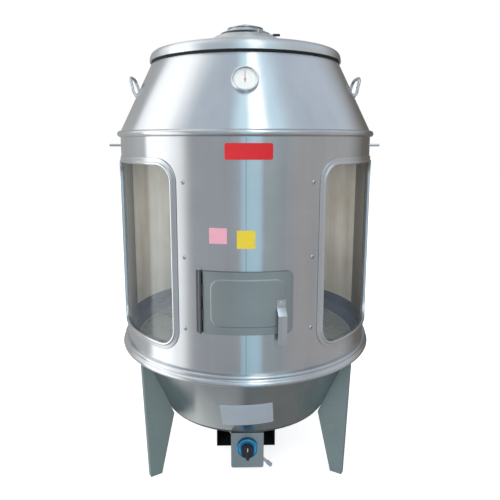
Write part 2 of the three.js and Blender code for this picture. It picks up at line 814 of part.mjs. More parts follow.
piece("hinge_leaf", cut(join(
  rolled(rounded(hingeArc - leafWidth, hingeArc + leafWall / 2, doorSill, doorTop, 0),
    onDrum, onDrum + leafWall),
  knuckleRow(0, [onDrum + leafWall / 2, hingeReach - hingePin, -leafWall, 0]),
), hingeBore), steel());

piece("hinge_pin", pinZ(hingePin, doorSill, doorTop, hingeReach, 0), darkSteel(), hingeFrame);

// Latch: a cranked lever that hangs from a spindle, with a cam inside the opening
const latchInset = 34; // from the door's right edge
const latchRise = 87; // from the door's lower edge
const latchArc = doorRight - latchInset;
const latchHeight = doorSill + latchRise;
const spindleRadius = 4;
const leverStrip = 2;
const leverBreadth = 25;
const leverEar = 11; // above the spindle
const leverCrankTop = 13; // below the spindle
const leverCrank = 14; // outward
const leverCrankDrop = 18;
const leverEnd = 113;
const latchHead = 7.5;
const latchHeadWall = 3;
const camDepth = 8; // from the door's face to the cam
const camLength = 36;
const camWidth = 14;
const latchFrame = outwardFrame(azimuthOf(latchArc), fireDoor);
const latchBore = spindleRadius + boreClearance;

piece("fire_door_panel", cut(join(
  rolled(doorOutline(0, doorCorner, doorLeftCorner), doorBack, doorFace),
  rolled(doorOutline(-embossInset, embossCorner), doorBack + doorWall / 2, embossFace),
  knuckleRow(1, [doorBack + doorWall / 2, doorFace + webWall / 2, 0, hingeOffset + leafWall]),
),
hingeBore,
moved(pinX(latchBore, doorBack - overrun, embossFace + overrun, 0, latchHeight), latchFrame)),
steel(), fireDoor);

const earBack = embossFace + 2 * seat;
const earFace = earBack + leverStrip;
const crankLow = latchHeight - leverCrankTop - leverCrankDrop;
const latchLow = latchHeight - leverEnd;
piece("latch_lever", cut(
  slab(outlineOf([
    [earBack, latchHeight + leverEar],
    [earBack, latchHeight - leverCrankTop],
    [earBack + leverCrank, crankLow],
    [earBack + leverCrank, latchLow],
    [earFace + leverCrank, latchLow],
    [earFace + leverCrank, crankLow],
    [earFace, latchHeight - leverCrankTop],
    [earFace, latchHeight + leverEar],
  ]), -leverBreadth / 2, leverBreadth / 2),
  pinX(latchBore, earBack - overrun, earFace + overrun, 0, latchHeight),
), steel(), latchFrame);

const camFace = doorFace - camDepth;
const camBack = camFace - plate;
const spindleEnd = camBack - seat;
piece("latch_spindle", join(
  pinX(spindleRadius, spindleEnd - latchHeadWall, earFace + seat + latchHeadWall, 0, latchHeight),
  pinX(latchHead, earFace + seat, earFace + seat + latchHeadWall, 0, latchHeight, hexSides),
  pinX(latchHead, spindleEnd - latchHeadWall, spindleEnd, 0, latchHeight, hexSides),
), steel(), latchFrame);

piece("latch_cam", cut(
  block(camBack, camFace, -camWidth / 2, camWidth / 2, latchHeight - camLength, latchHeight + camWidth / 2),
  pinX(latchBore, camBack - overrun, camFace + overrun, 0, latchHeight),
), darkSteel(), latchFrame);

// Pan band: an angle ring inside the drum that carries the drip pan
const bandRise = 24; // from the drum's lower edge
const bandLow = standHeight + bandRise;
const bandHeight = 37;
const bandLedge = 13;

piece("pan_band", turned([
  [inDrum - bandLedge, bandLow],
  [inDrum, bandLow],
  [inDrum, bandLow + bandHeight],
  [inDrum - sheet, bandLow + bandHeight],
  [inDrum - sheet, bandLow + sheet],
  [inDrum - bandLedge, bandLow + sheet],
]), blueFilm());

// Drip pan: an open trough round the burner's flame, hung by its rim on the band
const panRim = 17;
const panDepth = 30;
const panTaper = 13;
const flueClearance = 44; // from the throat
const flueRadius = throatRadius + flueClearance;
const flueHeight = 54;
const panRimTop = bandLow + sheet + seat + sheet;
const panOuter = inDrum - sheet - seat;
const panWallTop = panOuter - panRim;
const panFloor = panRimTop - panDepth;

piece("drip_pan", turned([
  [panOuter, panRimTop - sheet],
  [panWallTop, panRimTop - sheet],
  [panWallTop - panTaper, panFloor - sheet],
  [flueRadius, panFloor - sheet],
  [flueRadius, panFloor + flueHeight],
  [flueRadius + sheet, panFloor + flueHeight],
  [flueRadius + sheet, panFloor],
  [panWallTop - panTaper - sheet, panFloor],
  [panWallTop - sheet, panRimTop],
  [panOuter, panRimTop],
]), steel());

// Flame spreader: a low cone on three legs over the flue
const spreaderLap = 26; // beyond the flue
const spreaderRadius = flueRadius + spreaderLap;
const spreaderRise = 25;
const spreaderHeight = 84; // from the pan's floor to the spreader's edge
const spreaderLeg = 4;
const spreaderLegs = 3;
const spreaderEdge = panFloor + spreaderHeight;
const spreaderLegReach = (flueRadius + spreaderRadius) / 2;
const spreaderLegTop = spreaderEdge + spreaderRise * (1 - spreaderLegReach / spreaderRadius);

const legsUnder = Array.from({ length: spreaderLegs }, (_, i) => {
  const angle = (i / spreaderLegs) * 2 * Math.PI;
  return pinZ(spreaderLeg, panFloor + seat, spreaderLegTop,
    spreaderLegReach * Math.cos(angle), spreaderLegReach * Math.sin(angle), barSides);
});
piece("flame_spreader", join(
  turned([
    [0, spreaderEdge + spreaderRise - sheet],
    [spreaderRadius, spreaderEdge - sheet],
    [spreaderRadius, spreaderEdge],
    [0, spreaderEdge + spreaderRise],
  ], around / 2),
  ...legsUnder,
), blackIron());

// Burner box: a black sheet tray under the bowl, open at the front and the top
const boxClearance = 4; // from the throat
const boxHalf = throatRadius + boxClearance;
const boxFoot = 57; // from the ground
const boxLip = 18;
const airHole = 60;
const boxTop = floorUnder - seat;

piece("burner_box", join(
  cut(
    block(-boxHalf, boxHalf, -boxHalf, boxHalf, boxFoot, boxTop),
    block(-boxHalf + sheet, boxHalf - sheet, -boxHalf - overrun, boxHalf - sheet,
      boxFoot + sheet, boxTop + overrun),
    pinZ(airHole, boxFoot - overrun, boxFoot + overrun, 0, 0, around / 2),
  ),
  block(boxHalf - sheet, boxHalf + boxLip, -boxHalf, boxHalf, boxTop - sheet, boxTop),
  block(-boxHalf - boxLip, -boxHalf + sheet, -boxHalf, boxHalf, boxTop - sheet, boxTop),
), blackIron());

// Burner: a cast head on a cross bar, with a mixing tube that opens towards the valve
const headDrop = 9.9; // from the box's upper edge
const headRise = 30;
const riserLength = 45.5;
const riserRadius = 17;
const tubeRadius = 15;
const tubeBack = 20;
const tubeClearance = 60; // from the control box to the tube
const bellRadius = 21;
const bellLength = 17;
const tubeBore = 11;
const barHalf = 30;
const barDrop = 20;
const headShares = [[0.95, 0], [1, 0.3], [0.96, 0.75], [0.7, 1]]; // of the head's radius and rise

const headFoot = boxTop - headDrop;
const gasHeight = headFoot - riserLength; // of the valve, the knob and the mixing tube

piece("burner_head", turned([
  [0, headFoot],
  ...headShares.map(([r, z]) => [headRadius * r, headFoot + headRise * z]),
  [0, headFoot + headRise],
], around / 2), blackIron());

// The control box hangs under the bowl's lower edge, and the mixing tube ends behind it.
const panelInset = 4; // from the bowl's lower edge to the panel's face
const panelDepth = 65;
const panelFace = panelInset - bowlBottomRadius;
const panelBack = panelFace + panelDepth;
const tubeFront = panelBack + tubeClearance;

piece("mixing_tube", cut(
  join(
    pinY(tubeRadius, tubeFront, tubeBack, 0, gasHeight),
    pinZ(riserRadius, gasHeight, headFoot - seat),
    pinY(bellRadius, tubeFront - bellLength, tubeFront, 0, gasHeight),
  ),
  pinY(tubeBore, tubeFront - bellLength - overrun, tubeFront + 4 * bellLength, 0, gasHeight),
), blackIron());

const barTop = headFoot - seat;
const barEnd = boxHalf - sheet - seat;
piece("burner_bar", cut(
  join(
    block(-barEnd, barEnd, -barHalf, barHalf, barTop - plate, barTop),
    block(-barEnd, -barEnd + plate, -barHalf, barHalf, barTop - barDrop, barTop),
    block(barEnd - plate, barEnd, -barHalf, barHalf, barTop - barDrop, barTop),
  ),
  pinZ(riserRadius + 2 * seat, barTop - barDrop, barTop + overrun),
), blackIron());

// Control box: folded steel, open at the back, hung under the bowl's floor
const panelHalf = 50;
const panelDrop = 68.5; // from the valve down to the panel's lower edge
const panelCorner = 7;
const hangerDrop = 34;
const hangerFlange = 25;
const spindleHole = 9;
const inletHole = 8;
const inletFall = 53; // from the valve down to the hole in the box's side
const inletInset = 22; // from the panel's face back to that hole
const inletHeight = gasHeight - inletFall;
const inletDepth = panelFace + inletInset;
const panelTop = floorUnder - rimDepth - seat;
const panelFoot = gasHeight - panelDrop;

piece("control_box", cut(
  join(
    cut(
      slab(rounded(-panelHalf, panelHalf, panelFoot, panelTop, panelCorner, panelCorner, 0, 0),
        panelFace, panelBack),
      slab(rounded(-panelHalf + sheet, panelHalf - sheet, panelFoot + sheet, panelTop - sheet,
        panelCorner - sheet, panelCorner - sheet, 0, 0), panelFace + sheet, panelBack + overrun),
    ),
    block(-panelHalf, panelHalf, panelBack - sheet, panelBack, panelTop - hangerDrop, boxTop),
    block(-panelHalf, panelHalf, panelBack - sheet, panelBack + hangerFlange, boxTop - sheet, boxTop),
  ),
  pinY(spindleHole, panelFace - overrun, panelFace + overrun, 0, gasHeight),
  pinX(inletHole, panelHalf - overrun, panelHalf + overrun, inletDepth, inletHeight),
), finish(0x9aa3a6, 0.4, 1));

// Valve, spindle and knob
const valveHalf = 20;
const valveDepth = 38;
const outletRadius = 8;
const outletLength = 38;
const stemTravel = 5;
const stemFront = 20; // in front of the panel
const stemEnd = 18; // behind the panel
const valveBore = spindleRadius + runningGap;
const valveFace = panelFace + sheet + seat;
const valveBack = valveFace + valveDepth;

piece("valve_body", cut(
  join(
    block(-valveHalf, valveHalf, valveFace, valveBack, gasHeight - valveHalf, gasHeight + valveHalf),
    pinY(outletRadius, valveBack, valveBack + outletLength, 0, gasHeight),
  ),
  pinY(valveBore, valveFace - overrun, panelFace + stemEnd + 2 * stemTravel, 0, gasHeight),
), brass());

const stemGroup = new THREE.Group();
oven.add(stemGroup);
piece("valve_stem", pinY(spindleRadius, panelFace - stemFront, panelFace + stemEnd, 0, gasHeight), brass(),
  stemGroup);

const skirtGap = 6; // from the panel to the knob's skirt, more than the stem's travel
const skirtRadius = 31;
const skirtDepth = 5;
const skirtWall = 2;
const knobRadius = 20.5;
const knobDepth = 21;
const gripHalf = 5;
const gripProud = 8;
const skirtBack = panelFace - skirtGap;
const skirtFloor = skirtBack - skirtWall;
const knobBack = skirtFloor - seat;
const knobFront = knobBack - knobDepth;

piece("knob_skirt", cut(
  pinY(skirtRadius, skirtBack - skirtDepth, skirtBack, 0, gasHeight, 2 * sides),
  pinY(skirtRadius - skirtWall, skirtBack - skirtDepth - overrun, skirtFloor, 0, gasHeight, 2 * sides),
  pinY(valveBore, skirtBack - overrun, skirtBack + overrun, 0, gasHeight),
), blueMetal(), stemGroup);

piece("knob", cut(
  join(
    pinY(knobRadius, knobFront, knobBack, 0, gasHeight, 2 * sides),
    block(-gripHalf, gripHalf, knobFront - gripProud, knobFront + gripProud,
      gasHeight - knobRadius, gasHeight + knobRadius),
  ),
  pinY(valveBore, panelFace - stemFront - seat, knobBack + overrun, 0, gasHeight),
), blackPlastic(), stemGroup);

// Gas pipe from the valve's outlet to the jet in the mixing tube's bell
const pipeRadius = 5;
const pipeNut = 8;
const pipeNutLength = 9;
const jetRadius = 3;
const jetReach = 6;
const pipeBack = valveBack + outletLength + seat;
const pipeFront = tubeFront - bellLength - 2 * jetReach;

piece("gas_pipe", join(
  pinY(pipeRadius, pipeBack, pipeFront, 0, gasHeight),
  pinY(pipeNut, pipeBack, pipeBack + pipeNutLength, 0, gasHeight, hexSides),
  pinY(jetRadius, pipeFront, pipeFront + 3 * jetReach, 0, gasHeight),
), brass());

// Gas inlet: a bent pipe from the valve through the control box's side to a hose end
const inletRadius = 4.5;
const inletDrop = 10;
const hoseOut = 26; // from the box's side out to the hose end
const hoseFall = 24; // from the hole in the side down to it
const inletEnd = [panelHalf + hoseOut, inletHeight - hoseFall]; // X and height
piece("gas_inlet_pipe", bentBar([
  [valveHalf + seat, inletDepth, gasHeight - inletDrop],
  [valveHalf + inletDrop, inletDepth, gasHeight - inletDrop],
  [panelHalf - 2 * inletDrop, inletDepth, inletHeight + 2 * inletDrop],
  [panelHalf, inletDepth, inletHeight],
  [(panelHalf + inletEnd[0]) / 2, inletDepth, (inletHeight + inletEnd[1]) / 2],
  [inletEnd[0], inletDepth, inletEnd[1]],
], inletRadius), steel());

// Pilot tube: a thin bent tube from the valve to the burner's edge
const pilotRadius = 2.5;
const pilotHeight = gasHeight - inletDrop;
const pilotReach = headRadius + inletDrop;
const pilotEnd = -pilotReach * Math.SQRT1_2;
const pilotShares = [[0.66, 0.3868], [0.72, 0.8203]]; // of the box's half width, of the way to the burner
const [pilotOut, pilotIn] = pilotShares.map(([x, y]) => [-boxHalf * x, lerp(panelBack, pilotEnd, y)]);
piece("pilot_tube", bentBar([
  [-valveHalf - seat, inletDepth, pilotHeight],
  [-valveHalf - inletDrop, inletDepth, pilotHeight],
  [-panelHalf + inletDrop, panelBack, pilotHeight],
  [...pilotOut, gasHeight + inletDrop],
  [...pilotIn, headFoot - inletDrop],
  [pilotEnd, pilotEnd, headFoot + inletDrop],
], pilotRadius), brass());

export default oven;
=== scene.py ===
# %% [markdown]
# # A duck roasting oven in stainless steel
# The real oven is a rolled steel drum on a bowl with three folded legs, with a cone and a lid on top.
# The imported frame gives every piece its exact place, so this lesson only makes the surfaces finer and gives
# them their finishes. Everything is in metres, and each named length here is in millimetres until it is used.

import math

import bmesh
import bpy
from mathutils import Matrix, Vector


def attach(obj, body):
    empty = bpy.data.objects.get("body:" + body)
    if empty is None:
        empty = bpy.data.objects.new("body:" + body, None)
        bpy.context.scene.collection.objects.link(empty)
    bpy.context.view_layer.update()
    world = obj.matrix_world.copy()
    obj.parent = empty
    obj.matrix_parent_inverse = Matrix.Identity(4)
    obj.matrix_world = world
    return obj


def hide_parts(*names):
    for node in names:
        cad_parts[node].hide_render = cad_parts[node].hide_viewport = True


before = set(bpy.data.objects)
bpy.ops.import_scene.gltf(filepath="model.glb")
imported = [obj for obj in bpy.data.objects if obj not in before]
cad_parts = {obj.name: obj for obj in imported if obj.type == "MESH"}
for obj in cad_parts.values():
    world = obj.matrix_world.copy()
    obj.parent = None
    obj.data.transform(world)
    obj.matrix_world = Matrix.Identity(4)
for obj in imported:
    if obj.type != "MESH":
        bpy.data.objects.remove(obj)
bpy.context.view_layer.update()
MM = 0.001
scene = bpy.context.scene
print("frame loaded:", len(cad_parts), "nodes")

# %% [markdown]
# ## The camera
# The photograph was taken a little above the middle of the oven, looking slightly down. A lens shift does
# what cropping the picture did, so the camera itself keeps the measured height and tilt.

# %% Camera
CAMERA_DISTANCE = 1690
CAMERA_HEIGHT = 1097
CAMERA_AZIMUTH = 1.3
CAMERA_PITCH = 9.72
CAMERA_LENS = 36.3
SHIFT = (0.0094, -0.0468)

camera_data = bpy.data.cameras.new("camera")
camera = bpy.data.objects.new("camera", camera_data)
scene.collection.objects.link(camera)
camera_data.lens = CAMERA_LENS
camera_data.sensor_width = 36
camera_data.shift_x, camera_data.shift_y = SHIFT
turn = math.radians(CAMERA_AZIMUTH)
camera.location = (-CAMERA_DISTANCE * MM * math.sin(turn), -CAMERA_DISTANCE * MM * math.cos(turn),
                   CAMERA_HEIGHT * MM)
camera.rotation_euler = (math.radians(90 - CAMERA_PITCH), 0, -turn)
scene.camera = camera
print("camera", tuple(round(c, 3) for c in camera.location))

# %% [markdown]
# ## The studio
# Polished steel shows what stands round it, so the room is the finish as much as the material is. A bright
# wall on the left gives the broad band, a narrow cool one behind the camera gives the stripe, and the rest of
# the room stays grey. The world paints these walls by direction, which needs fewer samples than lamps do.
# There are three bands of them: the hood mirrors the high one, the drum the low one and the bowl the deep
# one. Three soft lamps only help the painted pieces and the inside, so the steel doesn't show them. The floor
# is pale to the camera and hidden from the steel, which sees the deep walls there instead.


# %% Helpers for nodes
def node(tree, kind, inputs=(), **settings):
    """Adds a node; inputs maps a socket's name or number to a value or to another node's output."""
    made = tree.nodes.new(kind)
    for key, value in settings.items():
        setattr(made, key, value)
    for key, value in dict(inputs).items():
        if isinstance(value, bpy.types.NodeSocket):
            tree.links.new(value, made.inputs[key])
        else:
            made.inputs[key].default_value = value
    return made


def ramp(tree, factor, stops):
    """A colour ramp with (place, colour) stops."""
    made = node(tree, "ShaderNodeValToRGB", {"Fac": factor})
    band = made.color_ramp
    while len(band.elements) < len(stops):
        band.elements.new(1)
    for element, (place, colour) in zip(band.elements, stops):
        element.position = place
        element.color = (*colour, 1)
    return made.outputs["Color"]


def mixed_colours(tree, share, low, high):
    """Two colours mixed by a share, from all of the first at 0 to all of the second at 1."""
    return node(tree, "ShaderNodeMix", {0: share, 6: low, 7: high}, data_type="RGBA").outputs[2]


print("node helpers are ready")

# %% [markdown]
# The world turns the direction of a ray into an azimuth from the front. A wall is then a ramp over the
# azimuth, with stops where its brightness or colour changes.

# %% Painted room
scene.view_settings.view_transform = "Standard"
world = bpy.data.worlds.new("studio")
scene.world = world
world.use_nodes = True
tree = world.node_tree
tree.nodes.clear()
sky = node(tree, "ShaderNodeTexCoord").outputs["Generated"]
way = node(tree, "ShaderNodeSeparateXYZ", {0: sky}).outputs
behind = node(tree, "ShaderNodeMath", {0: way["Y"], 1: -1.0}, operation="MULTIPLY").outputs[0]
azimuth = node(tree, "ShaderNodeMath", {0: way["X"], 1: behind}, operation="ARCTAN2").outputs[0]
turn_share = node(tree, "ShaderNodeMapRange", {0: azimuth, 1: -math.pi, 2: math.pi}).outputs[0]


def wall(*stops):
    """A band of the room: stops are an azimuth from the front, in degrees, and a brightness or a colour."""
    return ramp(tree, turn_share, [((turn + 180) / 360, shade if isinstance(shade, tuple) else (shade,) * 3)
                                   for turn, shade in stops])


COOL_GREY = (0.45, 0.46, 0.49)
WARM_GREY = (0.50, 0.48, 0.48)
WARM_SHADE = (0.20, 0.17, 0.14)
CYAN_STRIPE = (0.54, 0.76, 0.88)
PALE_CYAN = (0.78, 1.00, 1.10)
SKY_BLUE = (0.51, 0.57, 0.64)
PALE_BLUE = (0.62, 0.68, 0.76)
DEEP_GREY = (0.24, 0.27, 0.28)
STRIPE_SHADE = (0.40, 0.44, 0.46)
low_wall = wall((-180, 0.30), (-128, 0.50), (-108, 0.62), (-100, 0.66), (-96, 1.9), (-76, 1.8), (-60, 1.25),
                (-52, 0.60), (-46, COOL_GREY), (-6, COOL_GREY), (-4, CYAN_STRIPE), (13, CYAN_STRIPE),
                (14, STRIPE_SHADE), (30, STRIPE_SHADE), (44, WARM_GREY), (100, WARM_GREY), (116, 0.33),
                (128, WARM_SHADE), (150, 0.14), (180, 0.22))
high_wall = wall((-180, 0.45), (-129, 0.45), (-124, 1.45), (-84, 1.45), (-76, 0.85), (-62, SKY_BLUE),
                 (-20, SKY_BLUE), (-8, PALE_CYAN), (2, PALE_CYAN), (6, 2.0), (20, 2.0), (24, PALE_CYAN),
                 (36, PALE_CYAN), (48, PALE_BLUE), (66, SKY_BLUE), (110, PALE_BLUE), (135, 0.42), (146, 0.24),
                 (180, 0.4))
deep_wall = wall((-180, 0.20), (-162, 0.26), (-152, 0.5), (-143, 1.1), (-130, 1.1), (-121, 0.45),
                 (-110, 0.30), (-98, DEEP_GREY), (50, DEEP_GREY), (95, 0.24), (180, 0.18))
HIGH_FROM, HIGH_FULL = 0.12, 0.5
DEEP_FROM, DEEP_FULL = -0.45, -0.85
rise = node(tree, "ShaderNodeMapRange", {0: way["Z"], 1: HIGH_FROM, 2: HIGH_FULL},
            interpolation_type="SMOOTHSTEP").outputs[0]
fall = node(tree, "ShaderNodeMapRange", {0: way["Z"], 1: DEEP_FROM, 2: DEEP_FULL}).outputs[0]
room = mixed_colours(tree, rise, mixed_colours(tree, fall, low_wall, deep_wall), high_wall)
seen = node(tree, "ShaderNodeLightPath").outputs["Is Camera Ray"]
backdrop = mixed_colours(tree, seen, room, (1, 1, 1, 1))
surface = node(tree, "ShaderNodeBackground", {0: backdrop, 1: 1.0})
tree.links.new(surface.outputs[0], node(tree, "ShaderNodeOutputWorld").inputs[0])
print("room: 3 bands of walls, drawn with", len(tree.nodes), "nodes")

# %% [markdown]
# The lamps are large squares, so what shadow they throw is soft. One hangs above, one stands behind the
# camera and a small one lifts the inside of the drum.


# %% Lamps
def light(name, azimuth, distance, height, size, power, aim):
    """A square light at an azimuth from the front, in degrees, that faces the oven's axis at a height."""
    lamp = bpy.data.lights.new(name, "AREA")
    lamp.shape = "SQUARE"
    lamp.size = size * MM
    lamp.energy = power
    holder = bpy.data.objects.new(name, lamp)
    angle = math.radians(azimuth)
    holder.location = Vector((math.sin(angle) * distance, -math.cos(angle) * distance, height)) * MM
    toward = Vector((0, 0, aim * MM)) - holder.location
    holder.rotation_euler = toward.to_track_quat("-Z", "Y").to_euler()
    scene.collection.objects.link(holder)
    holder.visible_glossy = False


light("top_bank", 0, 400, 3400, size=2200, power=22, aim=0)
light("front_fill", -20, 2500, 1700, size=1500, power=20, aim=700)
light("inside_glow", 0, 0, 1060, size=300, power=3, aim=0)
print("lamps:", len(bpy.data.lights))

# %% [markdown]
# The floor is one large face. The camera sees it bright, and other rays meet a duller one, so that it throws
# less light up at the bowl and the legs.

# %% Floor
FLOOR_SIZE = 14000
bm = bmesh.new()
bmesh.ops.create_grid(bm, x_segments=1, y_segments=1, size=FLOOR_SIZE * MM)
floor_mesh = bpy.data.meshes.new("floor")
bm.to_mesh(floor_mesh)
bm.free()
floor = bpy.data.objects.new("floor", floor_mesh)
scene.collection.objects.link(floor)
floor.visible_glossy = False
floor_paint = bpy.data.materials.new("floor_paint")
floor_paint.use_nodes = True
tree = floor_paint.node_tree
tree.nodes.clear()
seen = node(tree, "ShaderNodeLightPath").outputs["Is Camera Ray"]
dim = node(tree, "ShaderNodeBsdfDiffuse", {0: (0.55, 0.56, 0.56, 1)}).outputs[0]
pale = node(tree, "ShaderNodeBsdfDiffuse", {0: (0.85, 0.85, 0.85, 1)}).outputs[0]
glow = node(tree, "ShaderNodeEmission", {0: (1, 1, 1, 1), 1: 0.7}).outputs[0]
bright = node(tree, "ShaderNodeAddShader", {0: pale, 1: glow}).outputs[0]
mixed = node(tree, "ShaderNodeMixShader", {0: seen, 1: dim, 2: bright}).outputs[0]
tree.links.new(mixed, node(tree, "ShaderNodeOutputMaterial").inputs[0])
floor_mesh.materials.append(floor_paint)
print("floor:", FLOOR_SIZE * 2 * MM, "metres across")

# %% [markdown]
# ## Finishes
# Sheet steel is brushed along the roll, so its scratches run round the drum. Noise that is stretched along
# the scratches drives the roughness and a faint bump. Slow smudges on top keep large surfaces from looking
# printed. Each effect is a node group, so every steel shares it with its own numbers.


# %% Helpers for shared effects
def group(name, inputs, outputs):
    """A shader node group with float, colour or vector sockets."""
    tree = bpy.data.node_groups.new(name, "ShaderNodeTree")
    kinds = {"f": "NodeSocketFloat", "c": "NodeSocketColor", "v": "NodeSocketVector"}
    for socket, kind in inputs.items():
        tree.interface.new_socket(socket, in_out="INPUT", socket_type=kinds[kind])
    for socket, kind in outputs.items():
        tree.interface.new_socket(socket, in_out="OUTPUT", socket_type=kinds[kind])
    return tree, node(tree, "NodeGroupInput").outputs, node(tree, "NodeGroupOutput").inputs


def maths(tree, operation, a, b=0.0, c=0.0, clamp=False):
    """A Math node's result."""
    return node(tree, "ShaderNodeMath", {0: a, 1: b, 2: c}, operation=operation, use_clamp=clamp).outputs[0]


ROLL_RADIUS = 0.4


def wind(tree, place):
    """Turns a place on the oven into arc length, radius and height, so that patterns follow the roll."""
    parts = node(tree, "ShaderNodeSeparateXYZ", {0: place}).outputs
    angle = maths(tree, "ARCTAN2", parts["Y"], parts["X"])
    arc = maths(tree, "MULTIPLY", angle, ROLL_RADIUS)
    flat = node(tree, "ShaderNodeCombineXYZ", {0: parts["X"], 1: parts["Y"]}).outputs[0]
    radius = node(tree, "ShaderNodeVectorMath", {0: flat}, operation="LENGTH").outputs["Value"]
    return node(tree, "ShaderNodeCombineXYZ", {0: arc, 1: radius, 2: parts["Z"]}).outputs[0]


def noise(tree, way, scale, detail, roughness=0.5, stretch=None):
    """A noise texture's value; a stretch multiplies the place along each axis first."""
    if stretch:
        way = node(tree, "ShaderNodeMapping", {0: way, 3: stretch}).outputs[0]
    return node(tree, "ShaderNodeTexNoise", {"Vector": way, "Scale": scale, "Detail": detail,
                                             "Roughness": roughness}).outputs[0]


def centred(tree, one, other):
    """The sum of two noises, moved so that it swings about zero."""
    return maths(tree, "SUBTRACT", maths(tree, "ADD", one, other), 1.0)


def sent_out(tree, out, colour, rough, bump):
    """Wires a finish's colour, roughness and normal to the outputs of its group."""
    for socket, value in (("Color", colour), ("Roughness", rough), ("Normal", bump)):
        tree.links.new(value, out[socket])


print("patterns wind round a roll of", ROLL_RADIUS, "metres")

# %% [markdown]
# Brushed steel has two sets of scratches and slow streaks. Where `Round` is 1 they follow the roll, and where
# it is 0 they keep to the piece's own axes, as on folded plate.

# %% Brushed steel
FINE_SCRATCHES, COARSE_SCRATCHES, STREAKS = (3, 3, 700), (1.5, 1.5, 120), (14, 14, 0.9)
tree, given, out = group(
    "brushed_steel", {"Tint": "c", "Dark": "c", "Roughness": "f", "Grain": "f", "Smudge": "f", "Round": "f"},
    {"Color": "c", "Roughness": "f", "Normal": "v"})
place = node(tree, "ShaderNodeTexCoord").outputs["Object"]
way = node(tree, "ShaderNodeMix", {0: given["Round"], 4: place, 5: wind(tree, place)},
           data_type="VECTOR").outputs[1]
grain = centred(tree, noise(tree, way, 1.0, 3.0, stretch=FINE_SCRATCHES),
                noise(tree, way, 1.0, 4.0, stretch=COARSE_SCRATCHES))
smudge = centred(tree, noise(tree, place, 5.0, 5.0, 0.6), noise(tree, way, 1.0, 3.0, stretch=STREAKS))
rough = maths(tree, "MULTIPLY_ADD", grain, given["Grain"], given["Roughness"])
rough = maths(tree, "MULTIPLY_ADD", smudge, given["Smudge"], rough, clamp=True)
shade = maths(tree, "MULTIPLY_ADD", smudge, 1.4, 0.5, clamp=True)
shade = maths(tree, "MULTIPLY_ADD", grain, 0.15, shade, clamp=True)
bump = node(tree, "ShaderNodeBump", {"Strength": 0.01, "Distance": 0.0002, "Height": grain}).outputs[0]
sent_out(tree, out, mixed_colours(tree, shade, given["Dark"], given["Tint"]), rough, bump)
brushed_group = tree
print("shared effect:", brushed_group.name)

# %% [markdown]
# Paint, plastic, rubber and cast iron share the second effect: fine spots over slow clouds.

# %% Cast or painted
tree, given, out = group(
    "cast_or_painted",
    {"Tint": "c", "Dark": "c", "Roughness": "f", "Scale": "f", "Mottle": "f", "Relief": "f"},
    {"Color": "c", "Roughness": "f", "Normal": "v"})
place = node(tree, "ShaderNodeTexCoord").outputs["Object"]
spots = noise(tree, place, given["Scale"], 5.0, 0.65)
mask = centred(tree, spots, noise(tree, place, 7.0, 4.0))
shade = maths(tree, "MULTIPLY_ADD", mask, given["Mottle"], 0.5, clamp=True)
rough = maths(tree, "MULTIPLY_ADD", mask, 0.25, given["Roughness"], clamp=True)
bump = node(tree, "ShaderNodeBump", {"Strength": given["Relief"], "Distance": 0.0005,
                                     "Height": spots}).outputs[0]
sent_out(tree, out, mixed_colours(tree, shade, given["Dark"], given["Tint"]), rough, bump)
painted_group = tree
print("shared effect:", painted_group.name)

# %% [markdown]
# A finish is a material that takes its colour, roughness and normal from one of the two effects. Metalness is
# the same all over a piece, so it is set on the shader's own socket, as is the direction of the brushing.


# %% How a finish is made
def finish(name, effect, values, metallic):
    """A material whose colour, roughness and normal come from a shared effect."""
    material = bpy.data.materials.new(name)
    material.use_nodes = True
    tree = material.node_tree
    tree.nodes.clear()
    look = tree.nodes.new("ShaderNodeGroup")
    look.node_tree = effect
    for socket, value in values.items():
        look.inputs[socket].default_value = (*value, 1) if isinstance(value, tuple) else value
    principled = node(tree, "ShaderNodeBsdfPrincipled", {
        "Base Color": look.outputs["Color"], "Roughness": look.outputs["Roughness"],
        "Normal": look.outputs["Normal"], "Metallic": metallic})
    tree.links.new(principled.outputs[0], node(tree, "ShaderNodeOutputMaterial").inputs[0])
    return material


GRAIN = 0.03


def steel(name, tint, dark, roughness, smudge=0.08, around=1.0, drawn=0.95, metallic=1.0):
    """Brushed steel. Scratches that run round the oven stretch a highlight up and down."""
    material = finish(name, brushed_group, {
        "Tint": tint, "Dark": dark, "Roughness": roughness, "Grain": GRAIN, "Smudge": smudge,
        "Round": around}, metallic)
    if around:
        tree = material.node_tree
        principled = next(n for n in tree.nodes if n.type == "BSDF_PRINCIPLED")
        principled.inputs["Anisotropic"].default_value = drawn
        principled.inputs["Anisotropic Rotation"].default_value = 0.25
        round_way = node(tree, "ShaderNodeTangent", direction_type="RADIAL", axis="Z").outputs[0]
        tree.links.new(round_way, principled.inputs["Tangent"])
    return material


MOTTLE = 0.9


def paint(name, tint, dark, roughness, scale=90.0, relief=0.15, metallic=0.0):
    """Paint, plastic, rubber or cast iron: cloudy in colour, with fine spots that stand a little proud."""
    return finish(name, painted_group, {
        "Tint": tint, "Dark": dark, "Roughness": roughness, "Scale": scale, "Mottle": MOTTLE,
        "Relief": relief}, metallic)


print("grain", GRAIN, "and mottle", MOTTLE, "are the same for every finish")

# %% [markdown]
# Each steel has a bright and a dark tint, which the smudges mix, and a roughness. The drum and the hood are
# the brightest and smoothest, the lid is satin, and the door is dull from handling.

